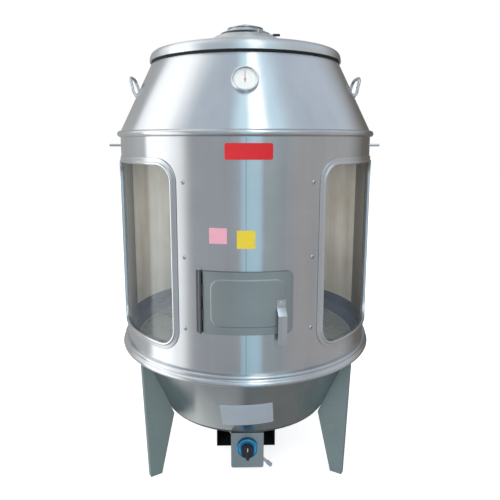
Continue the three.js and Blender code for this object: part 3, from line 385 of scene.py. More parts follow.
# %% Metals
drum_steel = steel("drum_steel", (0.66, 0.69, 0.71), (0.54, 0.56, 0.58), 0.20)
hood_steel = steel("hood_steel", (0.76, 0.79, 0.82), (0.66, 0.69, 0.72), 0.20)
bowl_steel = steel("bowl_steel", (0.56, 0.60, 0.61), (0.44, 0.47, 0.48), 0.24, drawn=0.5)
ring_steel = steel("ring_steel", (0.72, 0.75, 0.77), (0.60, 0.62, 0.64), 0.22)
lid_steel = steel("lid_steel", (0.86, 0.90, 0.92), (0.76, 0.80, 0.82), 0.34)
door_steel = steel("door_steel", (0.47, 0.51, 0.51), (0.36, 0.39, 0.39), 0.55, smudge=0.2, drawn=0.3)
plain_steel = steel("plain_steel", (0.68, 0.70, 0.72), (0.54, 0.56, 0.58), 0.28, around=0.0)
panel_steel = steel("panel_steel", (0.46, 0.49, 0.49), (0.37, 0.40, 0.40), 0.40, around=0.0)
inner_steel = steel("inner_steel", (0.78, 0.78, 0.72), (0.44, 0.39, 0.32), 0.42, smudge=0.3, metallic=0.45)
pan_steel = steel("pan_steel", (0.42, 0.49, 0.52), (0.19, 0.23, 0.25), 0.30, smudge=0.35, metallic=0.8)
# A dark copy of the clamps' steel: painted shade for the bars past the windows' far edges.
painted_shade_steel = steel("painted_shade_steel", (0.17, 0.165, 0.16), (0.07, 0.07, 0.07), 0.40, smudge=0.3, metallic=0.6)
seam_steel = steel("seam_steel", (0.34, 0.36, 0.38), (0.26, 0.28, 0.30), 0.40)
dark_steel = steel("dark_steel", (0.26, 0.27, 0.28), (0.14, 0.14, 0.15), 0.45, around=0.0)
chrome = steel("chrome", (0.80, 0.81, 0.83), (0.72, 0.73, 0.75), 0.12, smudge=0.05, around=0.0)
brass = steel("brass", (0.72, 0.56, 0.28), (0.45, 0.33, 0.14), 0.34, around=0.0)
blue_ring = steel("blue_ring", (0.07, 0.50, 0.90), (0.04, 0.36, 0.72), 0.22, around=0.0, metallic=0.55)
print("metals are ready")

# %% [markdown]
# The legs have grey-green paint with a trace of metal in it. The rest are small parts in black, red or white.

# %% Paints and plastics
leg_paint = paint("leg_paint", (0.285, 0.355, 0.355), (0.215, 0.27, 0.27), 0.45, relief=0.08, metallic=0.35)
black_sheet = paint("black_sheet", (0.035, 0.035, 0.038), (0.012, 0.012, 0.013), 0.55)
black_iron = paint("black_iron", (0.045, 0.043, 0.042), (0.015, 0.014, 0.014), 0.7, relief=0.5)
black_plastic = paint("black_plastic", (0.022, 0.022, 0.024), (0.012, 0.012, 0.013), 0.38, scale=600.0)
black_rubber = paint("black_rubber", (0.02, 0.02, 0.02), (0.01, 0.01, 0.01), 0.8, scale=300.0)
blue_film = paint("blue_film", (0.05, 0.09, 0.16), (0.02, 0.035, 0.06), 0.35, scale=35.0, metallic=0.3)
red_enamel = paint("red_enamel", (0.72, 0.016, 0.022), (0.60, 0.010, 0.016), 0.32, relief=0.03)
dial_white = paint("dial_white", (0.86, 0.86, 0.84), (0.80, 0.80, 0.78), 0.45, relief=0.02)
dial_grey = paint("dial_grey", (0.45, 0.45, 0.45), (0.38, 0.38, 0.38), 0.5)
needle_red = paint("needle_red", (0.62, 0.20, 0.18), (0.50, 0.14, 0.13), 0.4)
label_pink = paint("label_pink", (0.85, 0.42, 0.50), (0.80, 0.36, 0.44), 0.5, relief=0.02)
label_yellow = paint("label_yellow", (0.86, 0.66, 0.05), (0.78, 0.58, 0.03), 0.45, relief=0.02)
label_silver = paint("label_silver", (0.55, 0.60, 0.66), (0.46, 0.51, 0.56), 0.45, relief=0.02, metallic=0.2)
pointer_white = paint("pointer_white", (0.85, 0.88, 0.9), (0.75, 0.78, 0.8), 0.4)
print("paints and plastics are ready")

# %% [markdown]
# A pane's alpha follows the angle at which it is seen. That keeps the inside clear and bright, and the glass
# still mirrors the room towards the sides of the drum.


# %% Glass
def clear_glass(name):
    """Sheet glass: clear from the front, and a mirror where it is seen along its face."""
    material = bpy.data.materials.new(name)
    material.use_nodes = True
    tree = material.node_tree
    tree.nodes.clear()
    place = node(tree, "ShaderNodeTexCoord").outputs["Object"]
    smear = noise(tree, place, 9.0, 4.0)
    rough = node(tree, "ShaderNodeMapRange", {0: smear, 1: 0.3, 2: 0.8, 3: 0.02, 4: 0.07}).outputs[0]
    facing = node(tree, "ShaderNodeLayerWeight", {"Blend": 0.5}).outputs["Facing"]
    alpha = ramp(tree, facing, [(0, (0.05,) * 3), (0.6, (0.07,) * 3), (0.85, (0.20,) * 3), (1, (0.9,) * 3)])
    principled = node(tree, "ShaderNodeBsdfPrincipled", {
        "Base Color": (0.84, 0.89, 0.88, 1), "Metallic": 1.0, "Roughness": rough, "Alpha": alpha})
    tree.links.new(principled.outputs[0], node(tree, "ShaderNodeOutputMaterial").inputs[0])
    return material


window_glass = clear_glass("window_glass")
print("finishes:", len(bpy.data.materials))

# %% [markdown]
# ## Tools for sheet and bar
# Most of this oven is turned or rolled. `turned` spins a profile round an axis, and `stacked` joins flat
# loops and bends them round the drum. Pieces that are folded plate keep the frame's shape, with the edges
# softened by a small bevel on a copy of the node.

# %% Finished pieces
SAME_POINT = 0.0000005
SAME_CORNER = 0.00001


def shown(bm, name, materials, body, slot, *nodes, sharp=32):
    """Turns a bmesh into a smooth-shaded piece that rides on a body and may stand for nodes."""
    bmesh.ops.remove_doubles(bm, verts=bm.verts, dist=SAME_POINT)
    mesh = bpy.data.meshes.new(name)
    bm.to_mesh(mesh)
    bm.free()
    for material in materials if isinstance(materials, (list, tuple)) else [materials]:
        mesh.materials.append(material)
    mesh.shade_smooth()
    mesh.set_sharp_from_angle(angle=math.radians(sharp))
    piece = bpy.data.objects.new(name, mesh)
    scene.collection.objects.link(piece)
    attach(piece, body)
    if nodes:
        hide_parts(*nodes)
    return piece


print("points closer than", SAME_POINT, "metres are one")

# %% [markdown]
# A section's corners are eased before it is spun, because a sharp corner would catch no light.


# %% Sections that are spun
def eased(points, radius, steps=4, closed=True):
    """Rounds the corners of an outline of [x, y] points."""
    out = []
    count = len(points)
    for i, point in enumerate(points):
        here = Vector(point)
        if not closed and i in (0, count - 1):
            out.append(here)
            continue
        before, after = Vector(points[i - 1]) - here, Vector(points[(i + 1) % count]) - here
        if before.length < 1e-6 or after.length < 1e-6 or before.angle(after) > math.radians(172):
            out.append(here)
            continue
        back = here + before * min(radius / before.length, 0.48)
        on = here + after * min(radius / after.length, 0.48)
        for step in range(steps + 1):
            share = step / steps
            out.append(back.lerp(here, share).lerp(here.lerp(on, share), share))
    return out


def arc_points(centre, radius, start, end, steps):
    """Points along an arc between two angles, in degrees."""
    angles = [math.radians(start + (end - start) * i / steps) for i in range(steps + 1)]
    return [(centre[0] + radius * math.cos(a), centre[1] + radius * math.sin(a)) for a in angles]


def turned(outline, steps=160, place=None):
    """Spins an outline of [radius, height] in millimetres round Z; place moves the result."""
    bm = bmesh.new()
    verts = [bm.verts.new((x * MM, 0, z * MM)) for x, z in outline]
    on_axis = abs(outline[0][0]) < 1e-6 and abs(outline[-1][0]) < 1e-6
    pairs = list(zip(verts, verts[1:])) + ([] if on_axis else [(verts[-1], verts[0])])
    edges = [bm.edges.new(pair) for pair in pairs]
    bmesh.ops.spin(bm, geom=verts + edges, axis=(0, 0, 1), cent=(0, 0, 0), angle=math.tau, steps=steps,
                   use_merge=True)
    bmesh.ops.remove_doubles(bm, verts=bm.verts, dist=SAME_POINT)
    bmesh.ops.recalc_face_normals(bm, faces=bm.faces)
    if place is not None:
        bmesh.ops.transform(bm, matrix=place, verts=bm.verts)
    return bm


print("sections can be eased and spun")

# %% [markdown]
# A folded piece is copied from the frame, and small bars, boxes and blocks are added to a piece by these
# tools.

# %% Folded pieces, bars and blocks
FOLD_ANGLE = 35


def softened(name, material, body, slot, node_name, width=0.8, segments=2):
    """A copy of a frame node with its loose triangles merged and its edges slightly rounded."""
    bm = bmesh.new()
    bm.from_mesh(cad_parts[node_name].data)
    bmesh.ops.remove_doubles(bm, verts=bm.verts, dist=SAME_CORNER)
    bmesh.ops.dissolve_limit(bm, angle_limit=math.radians(1), verts=bm.verts, edges=bm.edges)
    edge = shown(bm, name, material, body, slot, node_name, sharp=FOLD_ANGLE).modifiers.new("edge", "BEVEL")
    edge.width = width * MM
    edge.segments = segments
    edge.limit_method = "ANGLE"
    edge.angle_limit = math.radians(FOLD_ANGLE)
    edge.harden_normals = True


def spaced(reach, count):
    """Evenly spaced points on a circle about zero."""
    turns = [math.tau * step / count for step in range(count)]
    return [(reach * math.cos(turn), reach * math.sin(turn)) for turn in turns]


def bar(bm, start, end, radius, sides=20):
    """Adds a round bar between two points, in millimetres."""
    start, end = Vector(start) * MM, Vector(end) * MM
    along = end - start
    place = Matrix.Translation((start + end) / 2) @ along.to_track_quat("Z", "Y").to_matrix().to_4x4()
    bmesh.ops.create_cone(bm, cap_ends=True, segments=sides, radius1=radius * MM, radius2=radius * MM,
                          depth=along.length, matrix=place)


def merged(bm, part, finish_index=0):
    """Adds one bmesh to another, with its faces in a finish of their own where an index is given."""
    if finish_index:
        for face in part.faces:
            face.material_index = finish_index
    mesh = bpy.data.meshes.new("part")
    part.to_mesh(mesh)
    part.free()
    bm.from_mesh(mesh)
    bpy.data.meshes.remove(mesh)


def cube(bm, size, centre):
    """Adds a box of a size at a place, in millimetres, and returns its corners."""
    verts = bmesh.ops.create_cube(bm, size=1)["verts"]
    bmesh.ops.scale(bm, vec=[length * MM for length in size], verts=verts)
    bmesh.ops.translate(bm, vec=[length * MM for length in centre], verts=verts)
    return verts


def pulled(bm, outline, way):
    """Closes an outline of vertices with a face and pulls it out into a solid block."""
    face = bm.faces.new(outline)
    lifted = bmesh.ops.extrude_face_region(bm, geom=[face])["geom"]
    bmesh.ops.translate(bm, vec=way, verts=[v for v in lifted if isinstance(v, bmesh.types.BMVert)])
    bmesh.ops.recalc_face_normals(bm, faces=bm.faces)
    return bm


print("tools for sheet and bar are ready")

# %% [markdown]
# ## Sizes
# These are the frame's own sizes, in millimetres. The rolled pieces measure along the drum from its front
# line, as a sheet metal worker would mark them on the flat sheet.

# %% Sizes of the drum and what is on it
DRUM = 400
SHEET = 1.5
DRUM_FOOT = 450
DRUM_TOP = 1116
LINING = DRUM - SHEET
HOOD_FOOT, HOOD_RISE, HOOD_MOUTH = 1122.3, 206, 298
HOOD_SLOPE = (DRUM - HOOD_MOUTH) / HOOD_RISE
BOWL_FOOT, BOWL_LEDGE = 226, 431
BOWL_FLOOR_RADIUS, BOWL_LEDGE_RADIUS = 284, 374
BOWL_SLOPE = (BOWL_LEDGE_RADIUS - BOWL_FLOOR_RADIUS) / (BOWL_LEDGE - BOWL_FOOT)
print("drum:", DRUM, "in radius, from", DRUM_FOOT, "to", DRUM_TOP)

# %% [markdown]
# A flat sheet is drawn with its length along the drum and its depth as the distance from the axis. `bent`
# then rolls it, so that an outline keeps its length round the drum.


# %% Rolled sheet
def bent(bm):
    """Bends a flat sheet, with X along the roll and Y outwards from the axis, round the drum."""
    for vert in bm.verts:
        angle = vert.co.x / (DRUM * MM)
        radius = vert.co.y
        vert.co = Vector((radius * math.sin(angle), -radius * math.cos(angle), vert.co.z))
    bmesh.ops.remove_doubles(bm, verts=bm.verts, dist=SAME_CORNER)
    bmesh.ops.recalc_face_normals(bm, faces=bm.faces)
    return bm


def rounded_loop(x0, x1, z0, z1, corners, side_steps=24, corner_steps=10):
    """Points of a rectangle with its own corner radii: low left, low right, high right, high left."""
    low_left, low_right, high_right, high_left = corners
    runs = [
        ((x0 + low_left, z0), (x1 - low_right, z0), (x1 - low_right, z0 + low_right), low_right, -90),
        ((x1, z0 + low_right), (x1, z1 - high_right), (x1 - high_right, z1 - high_right), high_right, 0),
        ((x1 - high_right, z1), (x0 + high_left, z1), (x0 + high_left, z1 - high_left), high_left, 90),
        ((x0, z1 - high_left), (x0, z0 + low_left), (x0 + low_left, z0 + low_left), low_left, 180),
    ]
    points = []
    for start, end, centre, radius, angle in runs:
        for i in range(side_steps):
            points.append(Vector(start).lerp(Vector(end), i / side_steps))
        for i in range(corner_steps):
            turn = math.radians(angle + 90 * i / corner_steps)
            points.append(Vector((centre[0] + radius * math.cos(turn), centre[1] + radius * math.sin(turn))))
    return points


def stacked(loops, closed=False, capped=False):
    """Joins flat loops, each a list of points and its distance from the axis, into one bent surface.

    The loops are joined point for point, because an operator that bridges them can pair the wrong points.
    """
    bm = bmesh.new()
    rings = [[bm.verts.new((x * MM, reach * MM, z * MM)) for x, z in points] for points, reach in loops]
    pairs = list(zip(rings, rings[1:])) + ([(rings[-1], rings[0])] if closed else [])
    for a, b in pairs:
        for i in range(len(a)):
            bm.faces.new((a[i - 1], a[i], b[i], b[i - 1]))
    for ring in (rings[0], rings[-1]) if capped else ():
        bm.faces.new(ring)
    return bent(bm)


def panel(outline, corner, ease, low, high, inset_steps=9):
    """Loops that close a bent panel from its edge to its middle line, without a flat cap."""
    x0, x1, z0, z1 = outline
    deepest = min(x1 - x0, z1 - z0) / 2
    face = []
    for i in range(inset_steps + 1):
        inset = deepest * i / inset_steps
        kept = [max(corner - inset, 0)] * 4
        face.append(rounded_loop(x0 + inset, x1 - inset, z0 + inset, z1 - inset, kept, 48))
    edge = [(face[0], low + ease), (face[0], high - ease)]
    return [(loop, low) for loop in reversed(face)] + edge + [(loop, high) for loop in face]


print("sheets are rolled to", DRUM)

# %% [markdown]
# ## Drum
# The drum is one sheet with two window openings and a door opening, rolled up and closed by a lap seam. It is
# made the same way here: a flat sheet is divided into narrow strips, the openings are cut out of it, and only
# then is it bent round. The cuts are Boolean modifiers, because a bmesh has no operator that takes one solid
# out of another.

# %% Openings
WINDOW_NEAR, WINDOW_FAR = 219, 548
WINDOW_LOW, WINDOW_HIGH = 527, 1031
WINDOW_CORNER = 46
GLASS_LAP = 14
DOOR = (-124, 121, 579.5, 754.5)
DOOR_LAP = 10
DOOR_HOLE = (DOOR[0] + DOOR_LAP, DOOR[1] - DOOR_LAP, DOOR[2] + DOOR_LAP, DOOR[3] - DOOR_LAP)
DOOR_HOLE_CORNER = 8
CUT_PAST = 5


def window_box(side, grow):
    """The box of a window, grown by a margin; side is 1 for the right one and -1 for the left one."""
    near, far = WINDOW_NEAR - grow, WINDOW_FAR + grow
    return (*((near, far) if side > 0 else (-far, -near)), WINDOW_LOW - grow, WINDOW_HIGH + grow)


def window_loop(side, grow=0.0):
    """The outline of a window, grown by a margin."""
    return rounded_loop(*window_box(side, grow), [WINDOW_CORNER + grow] * 4, 30, 12)


def cutter(points):
    """A cutting block with an outline in X and Z that goes through the flat sheet."""
    low, high = LINING - CUT_PAST, DRUM + CUT_PAST
    bm = bmesh.new()
    outline = [bm.verts.new((x * MM, low * MM, z * MM)) for x, z in points]
    return pulled(bm, outline, (0, (high - low) * MM, 0))


def carved(bm, cutters):
    """Cuts solids out of a bmesh with Boolean modifiers and returns the result as a new bmesh."""
    made = []
    for name, part in [("work", bm)] + [("tool", c) for c in cutters]:
        mesh = bpy.data.meshes.new(name)
        part.to_mesh(mesh)
        part.free()
        holder = bpy.data.objects.new(name, mesh)
        scene.collection.objects.link(holder)
        made.append(holder)
    for tool in made[1:]:
        change = made[0].modifiers.new("cut", "BOOLEAN")
        change.operation = "DIFFERENCE"
        change.solver = "EXACT"
        change.object = tool
    bpy.context.view_layer.update()
    result = bpy.data.meshes.new_from_object(made[0].evaluated_get(bpy.context.evaluated_depsgraph_get()))
    out = bmesh.new()
    out.from_mesh(result)
    for holder in made:
        mesh = holder.data
        bpy.data.objects.remove(holder)
        bpy.data.meshes.remove(mesh)
    bpy.data.meshes.remove(result)
    return out


print("window:", WINDOW_FAR - WINDOW_NEAR, "by", WINDOW_HIGH - WINDOW_LOW, "of clear glass")

# %% [markdown]
# The sheet's outer face is bright and its inner face has browned, so its faces take one finish or the other
# by the way they look. Their normals are pointed straight out from the axis, so the steel reflects smoothly.


# %% Drum
def outward(face):
    """How far a face looks out from the axis: 1 straight out, -1 straight in."""
    return face.normal.dot(Vector((face.center.x, face.center.y, 0)).normalized())


def radial_normals(piece, least=0.8):
    """Points the normals of rolled faces straight out from the axis or in to it, and leaves the others."""
    mesh = piece.data
    normals = []
    kept = [corner.vector.copy() for corner in mesh.corner_normals]
    for face in mesh.polygons:
        way = outward(face)
        for index in face.loop_indices:
            place = mesh.vertices[mesh.loops[index].vertex_index].co
            out = Vector((place.x, place.y, 0)).normalized()
            normals.append(out * math.copysign(1, way) if abs(way) > least else kept[index])
    mesh.normals_split_custom_set(normals)


STRIPS = 216
half_turn = math.pi * DRUM
flat = bmesh.new()
bmesh.ops.create_grid(flat, x_segments=STRIPS, y_segments=1, size=1,
                      matrix=Matrix.Rotation(math.radians(90), 4, "X"))
bmesh.ops.scale(flat, vec=(half_turn * MM, 1, (DRUM_TOP - DRUM_FOOT) / 2 * MM), verts=flat.verts)
bmesh.ops.translate(flat, vec=(0, LINING * MM, (DRUM_TOP + DRUM_FOOT) / 2 * MM), verts=flat.verts)
lifted = bmesh.ops.extrude_face_region(flat, geom=flat.faces[:])["geom"]
bmesh.ops.translate(flat, vec=(0, SHEET * MM, 0),
                    verts=[v for v in lifted if isinstance(v, bmesh.types.BMVert)])
bmesh.ops.recalc_face_normals(flat, faces=flat.faces)
holes = [cutter(window_loop(side)) for side in (1, -1)]
holes.append(cutter(rounded_loop(*DOOR_HOLE, [DOOR_HOLE_CORNER] * 4, 12, 6)))
drum = bent(carved(flat, holes))
drum_piece = shown(drum, "drum", [drum_steel, inner_steel], "oven", "steel", "drum_shell", sharp=30)
for face in drum_piece.data.polygons:
    face.material_index = 1 if outward(face) < -0.5 else 0
radial_normals(drum_piece)
print("drum:", len(drum_piece.data.polygons), "faces")

# %% [markdown]
# The lap seam runs down the front, a little left of the middle, and shows as one thin dark line.

# %% Seam
SEAM, SEAM_HALF, SEAM_STAND = -7, 0.7, 0.2
seam_line = rounded_loop(SEAM - SEAM_HALF, SEAM + SEAM_HALF, DRUM_FOOT + 16, DRUM_TOP - 12, [0.5] * 4, 4, 3)
seam = stacked([(seam_line, reach) for reach in (DRUM - SEAM_STAND, DRUM + SEAM_STAND)], capped=True)
shown(seam, "drum_seam", seam_steel, "oven", "steel")
print("seam:", 2 * SEAM_HALF, "wide,", SEAM, "along from the front line")

# %% [markdown]
# ## Windows
# Each window has a pressed frame with a rounded inner bead and a flatter outer band. Its section is stepped
# through a set of outlines, each grown a little more than the last, and the outlines are joined up. The pane
# laps the opening from inside, as the real one does.

# %% Window frames and glass
FRAME_SECTION = [(0, 400.3), (0, 404.6), (0.7, 405.5), (2.2, 406.0), (4.8, 406.0), (6.3, 405.5), (7.0, 404.6),
                 (7.4, 403.4), (8.4, 403.0), (17.4, 403.0), (18.6, 402.6), (19.0, 401.8), (19.0, 400.3)]
GLASS_OUTER, GLASS_INNER = 398.2, 394.7
for side, label in ((1, "right"), (-1, "left")):
    frame_bm = stacked([(window_loop(side, grow), reach) for grow, reach in FRAME_SECTION], closed=True)
    shown(frame_bm, f"window_frame_{label}_pressed", ring_steel, "oven", "steel", f"window_frame_{label}",
          sharp=50)
    pane = stacked(panel(window_box(side, GLASS_LAP), WINDOW_CORNER, 0.5, GLASS_INNER, GLASS_OUTER))
    radial_normals(shown(pane, f"window_pane_{label}", window_glass, "oven", "glass",
                         f"window_glass_{label}"))
print("windows: 2 frames, 2 panes")

# %% [markdown]
# ## Rings
# Two rolled beads stiffen the drum's edges. The lower one is a thick roll with a thin bead above it, the
# upper one a single bead that also clasps the hood. A ring is a section that is spun round the axis.

# %% Rings, bowl and hood
roll = arc_points((407, 440.5), 8.88, -90, 72, 18)
bead = arc_points((405, 457.5), 6, -58, 90, 14)
lower = turned([(400.3, 431.5)] + roll + bead + [(400.3, 463.5)], 256)
shown(lower, "lower_ring_rolled", ring_steel, "oven", "steel", "lower_ring", sharp=50)
upper = turned([(400.3, 1106.8)] + arc_points((400.5, 1116.3), 9.5, -80, 80, 20) + [(400.3, 1125.8)], 256)
shown(upper, "top_ring_rolled", ring_steel, "oven", "steel", "top_ring", sharp=50)

bowl_outline = eased([(BOWL_FLOOR_RADIUS, BOWL_FOOT), (BOWL_LEDGE_RADIUS, BOWL_LEDGE), (DRUM, BOWL_LEDGE),
                      (DRUM, 449.7), (LINING, 449.7), (LINING, BOWL_LEDGE + SHEET),
                      (BOWL_LEDGE_RADIUS - SHEET, BOWL_LEDGE + SHEET),
                      (BOWL_FLOOR_RADIUS - SHEET, BOWL_FOOT)], 0.6, 2)
shown(turned(bowl_outline, 256), "bowl_spun", bowl_steel, "oven", "steel", "bowl_shell", sharp=30)

# The bowl's floor is dark steel; on its turned rim just under the bowl the dark is partly a painted shade.
floor_outline = eased([(96, 224.2), (275.7, 224.2), (275.7, 216.2), (277.2, 216.2), (277.2, 224.2),
                       (283.2, 224.2), (283.2, 225.7), (96, 225.7)], 0.5, 2)
shown(turned(floor_outline, 192), "bowl_floor_pressed", dark_steel, "oven", "dark_steel", "bowl_floor",
      sharp=30)

HOOD_TOP, HOOD_LIP_RADIUS = HOOD_FOOT + HOOD_RISE, 284
hood_outline = eased([(LINING, 1116.3), (DRUM, 1116.3), (DRUM, HOOD_FOOT), (HOOD_MOUTH, HOOD_TOP),
                      (HOOD_LIP_RADIUS, HOOD_TOP), (HOOD_LIP_RADIUS, 1326.8), (295, 1326.8),
                      (LINING, HOOD_FOOT)], 1.0, 3)
shown(turned(hood_outline, 256), "hood_spun", hood_steel, "oven", "steel", "hood_cone", sharp=30)
print("rings, bowl, floor and hood are spun")

# %% [markdown]
# ## Lid
# The lid is a dished satin cover. It carries a black gasket, a damper disc that turns on a rivet, a cowl on
# three feet and a cap. The four smoke holes are sectors, cut through the crown and through the disc.

# %% Lid
LID_FOOT = 1335.9
SKIRT_RISE, CROWN_RISE = 31, 53
LID_SHOULDER = LID_FOOT + SKIRT_RISE
CROWN = LID_SHOULDER + CROWN_RISE
LID_EDGE, SHOULDER_RADIUS, CROWN_RADIUS = 303, 284, 96
skirt = [(0.0, 0.0), (0.03, 0.22), (0.07, 0.4), (0.14, 0.55), (0.24, 0.68), (0.4, 0.8), (0.66, 0.92),
         (1.0, 1.0)]
dome = [(0.05, 0.045), (0.1, 0.08), (0.26, 0.2), (0.44, 0.34), (0.6, 0.47), (0.74, 0.595), (0.86, 0.72),
        (0.93, 0.83), (0.98, 0.93), (1.0, 0.97)]
lid_face = [(LID_EDGE + (SHOULDER_RADIUS - LID_EDGE) * a, LID_FOOT + SKIRT_RISE * b) for a, b in skirt]
lid_face += [(SHOULDER_RADIUS + (CROWN_RADIUS - SHOULDER_RADIUS) * a, LID_SHOULDER + CROWN_RISE * b)
             for a, b in dome]
lid_face += [(CROWN_RADIUS - 3, CROWN - 0.4), (CROWN_RADIUS - 7, CROWN)]
lid_back = [(max(r - 1.5, 0), z - 1.5) for r, z in reversed(lid_face[1:])]
lid_outline = ([(0, CROWN - 1.5)] + lid_back + [(301.5, LID_FOOT + 1.5), (291.5, LID_FOOT + 1.5),
                                                (291.5, LID_FOOT)] + lid_face + [(0, CROWN)])


VENT_INNER, VENT_OUTER, VENT_HALF_TURN = 20, 58, 19


def vent_block(middle, low, high):
    """A cutting block for the smoke hole at an angle, between two heights."""
    bm = bmesh.new()
    first, last = middle - VENT_HALF_TURN, middle + VENT_HALF_TURN
    points = arc_points((0, 0), VENT_OUTER, first, last, 8)
    points += reversed(arc_points((0, 0), VENT_INNER, first, last, 8))
    outline = [bm.verts.new((x * MM, y * MM, low * MM)) for x, y in points]
    return pulled(bm, outline, (0, 0, (high - low) * MM))


def vents(low, high):
    """Cutting blocks for the four smoke holes."""
    return [vent_block(45 + 90 * i, low, high) for i in range(4)]


lid_bm = carved(turned(lid_outline, 224), vents(CROWN - 5, CROWN + 5))
shown(lid_bm, "lid_spun", lid_steel, "lid", "satin_lid", "lid_shell", sharp=30)
print("lid:", round(CROWN, 1), "high at its crown")

# %% [markdown]
# The gasket lies under the lid's lip; its black is partly a painted shadow of the gap there. The damper is a
# disc under the crown, with holes that match the crown's, and a lever with a black grip turns it.

# %% Gasket and damper
gasket = turned(eased([(288, 1328.6), (298, 1328.6), (298, 1335.6), (288, 1335.6)], 1.5, 3), 192)
shown(gasket, "lid_gasket_moulded", black_rubber, "lid", "rubber", "lid_gasket", sharp=60)

disc = carved(turned([(0, 1420.2), (68, 1420.2), (68, 1421.7), (0, 1421.7)], 128), vents(1415, 1426))
shown(disc, "damper_disc_cut", plain_steel, "damper", "steel", "damper_disc", sharp=30)
softened("damper_lever_bent", plain_steel, "damper", "steel", "damper_lever", 0.5)
grip = turned(eased([(0, 0), (3.4, 0), (4, 1.2), (4, 20), (3.2, 22.7), (0, 22.7)], 0.8, 3), 32,
              Matrix.Translation(Vector((88.3, 0, 1428.25)) * MM) @ Matrix.Rotation(math.radians(90), 4, "Y"))
shown(grip, "damper_grip_moulded", black_plastic, "damper", "black_plastic", "damper_grip", sharp=50)
softened("damper_rivet_set", dark_steel, "lid", "dark_steel", "damper_rivet", 0.6)
print("gasket and damper")

# %% [markdown]
# The cowl is a dished ring on three feet, and the cap closes it against rain and dust with a gap for the
# smoke.

# %% Vent
cowl_face = eased([(79, 1428.9), (70.9, 1431.9), (60.1, 1437.9), (52, 1443.9)], 8, 5, closed=False)
cowl_back = [(v.x - 3, v.y) for v in reversed(cowl_face)]
cowl = turned([tuple(v) for v in cowl_face] + cowl_back, 128)
FEET_REACH = 76
for angle in (-60, 60, 180):
    x, y = FEET_REACH * math.cos(math.radians(angle)), FEET_REACH * math.sin(math.radians(angle))
    bar(cowl, (x, y, 1420.2), (x, y, 1430.4), 3)
shown(cowl, "vent_cowl_spun", lid_steel, "lid", "satin_lid", "vent_cowl", sharp=40)
cap_outline = [(0, 1458.7), (46, 1445.7), (46, 1444.2), (56.4, 1444.2), (57, 1444.9), (56.4, 1445.8),
               (50, 1447.6), (6, 1459.4), (0, 1460.2)]
shown(turned(cap_outline, 128), "vent_cap_spun", lid_steel, "lid", "satin_lid", "vent_cap", sharp=40)
print("vent cowl and cap")

# %% [markdown]
# ## Fire door
# The door is rolled to the drum's curve. A raised middle with soft corners stiffens it. The outlines step in
# from the edge, over the rise and on to the middle, so that one joined surface makes the whole face. Its cut
# edge, a thin band inside it and the hinge's knuckles are darker steel, as a painted shadow of the gap round
# the door and of the hinge's slit.

# %% Fire door
DOOR_BACK, DOOR_FACE, EMBOSS_FACE = 401, 403.5, 405.5
DOOR_MIDDLE = 87.5
# The dark edge is a painted shadow of the gap round the door: a band this wide, and every face below this
# depth.
EDGE_SHADE, EDGE_SHADE_DEPTH = 1.2, 0.9
HINGE_ALONG, HINGE_REACH, HINGE_RADIUS, KNUCKLE, KNUCKLE_GAP = -131, 407, 4.2, 35, 0.3


def door_loop(inset, right, left):
    """The door's outline, stepped in from its edge, with a corner radius for each side."""
    x0, x1, z0, z1 = DOOR
    return rounded_loop(x0 + inset, x1 - inset, z0 + inset, z1 - inset, [left, right, right, left], 40, 12)


face = [(door_loop(0, 16, 3), DOOR_BACK), (door_loop(0, 16, 3), DOOR_FACE - 0.8),
        (door_loop(0.3, 15.7, 2.7), DOOR_FACE - 0.25), (door_loop(0.9, 15.1, 2.1), DOOR_FACE),
        (door_loop(12, 20, 14), DOOR_FACE), (door_loop(20.5, 27, 27), DOOR_FACE),
        (door_loop(21.5, 27, 27), DOOR_FACE + 0.2), (door_loop(23.2, 26, 26), EMBOSS_FACE - 0.25),
        (door_loop(24.4, 25, 25), EMBOSS_FACE)]
for inset in (30, 38, 48, 60, 74, DOOR_MIDDLE):
    corner = max(25 - (inset - 24.4) * 0.5, 0) if inset < DOOR_MIDDLE else 0
    face.append((door_loop(inset, corner, corner), EMBOSS_FACE))
back = [(door_loop(inset, max(16 - inset * 0.3, 0), 0), DOOR_BACK) for inset in (70, 50, 30, 12)]
door_bm = stacked([(door_loop(DOOR_MIDDLE, 0, 0), DOOR_BACK)] + back + face)
for part in door_bm.faces:
    middle = part.calc_center_median() / MM
    reach, along = math.hypot(middle.x, middle.y), math.atan2(middle.x, -middle.y) * DRUM
    inset = min(along - DOOR[0], DOOR[1] - along, middle.z - DOOR[2], DOOR[3] - middle.z)
    # Faces at the edge and below the face take the dark steel, a painted shadow of the gap round the door.
    part.material_index = int(inset < EDGE_SHADE or reach < DOOR_FACE - EDGE_SHADE_DEPTH)
# The knuckles are dark steel, a painted shadow of the hinge's slit.
for k in (1, 3):
    low, high = DOOR[2] + KNUCKLE * k + KNUCKLE_GAP, DOOR[2] + KNUCKLE * (k + 1) - KNUCKLE_GAP
    knuckle = bmesh.new()
    bar(knuckle, (0, -HINGE_REACH, low), (0, -HINGE_REACH, high), HINGE_RADIUS, 28)
    cube(knuckle, (9, 2.05, high - low), (4.5, -403.3, (low + high) / 2))
    bmesh.ops.transform(knuckle, matrix=Matrix.Rotation(HINGE_ALONG / DRUM, 4, "Z"), verts=knuckle.verts)
    merged(door_bm, knuckle, 1)
door_piece = shown(door_bm, "fire_door_pressed", [door_steel, dark_steel], "fire_door", "steel",
                   "fire_door_panel")
radial_normals(door_piece, 0.997)
# The leaf and the pin are dark steel too, a painted shadow of the hinge's slit.
softened("hinge_leaf_rolled", dark_steel, "oven", "steel", "hinge_leaf", 0.4)
softened("hinge_pin_turned", dark_steel, "oven", "dark_steel", "hinge_pin", 0.3)
softened("latch_lever_bent", plain_steel, "latch", "steel", "latch_lever", 0.5)
softened("latch_spindle_hex", chrome, "latch", "steel", "latch_spindle", 0.6)
softened("latch_cam_cut", dark_steel, "latch", "dark_steel", "latch_cam", 0.5)
print("fire door, hinge and latch")

# %% [markdown]
# ## Inside the drum
# A banded ledge carries the drip pan, which is a trough round the burner's flue, and a low cone on three legs
# spreads the flame. The bars that hold the ducks run across the top.

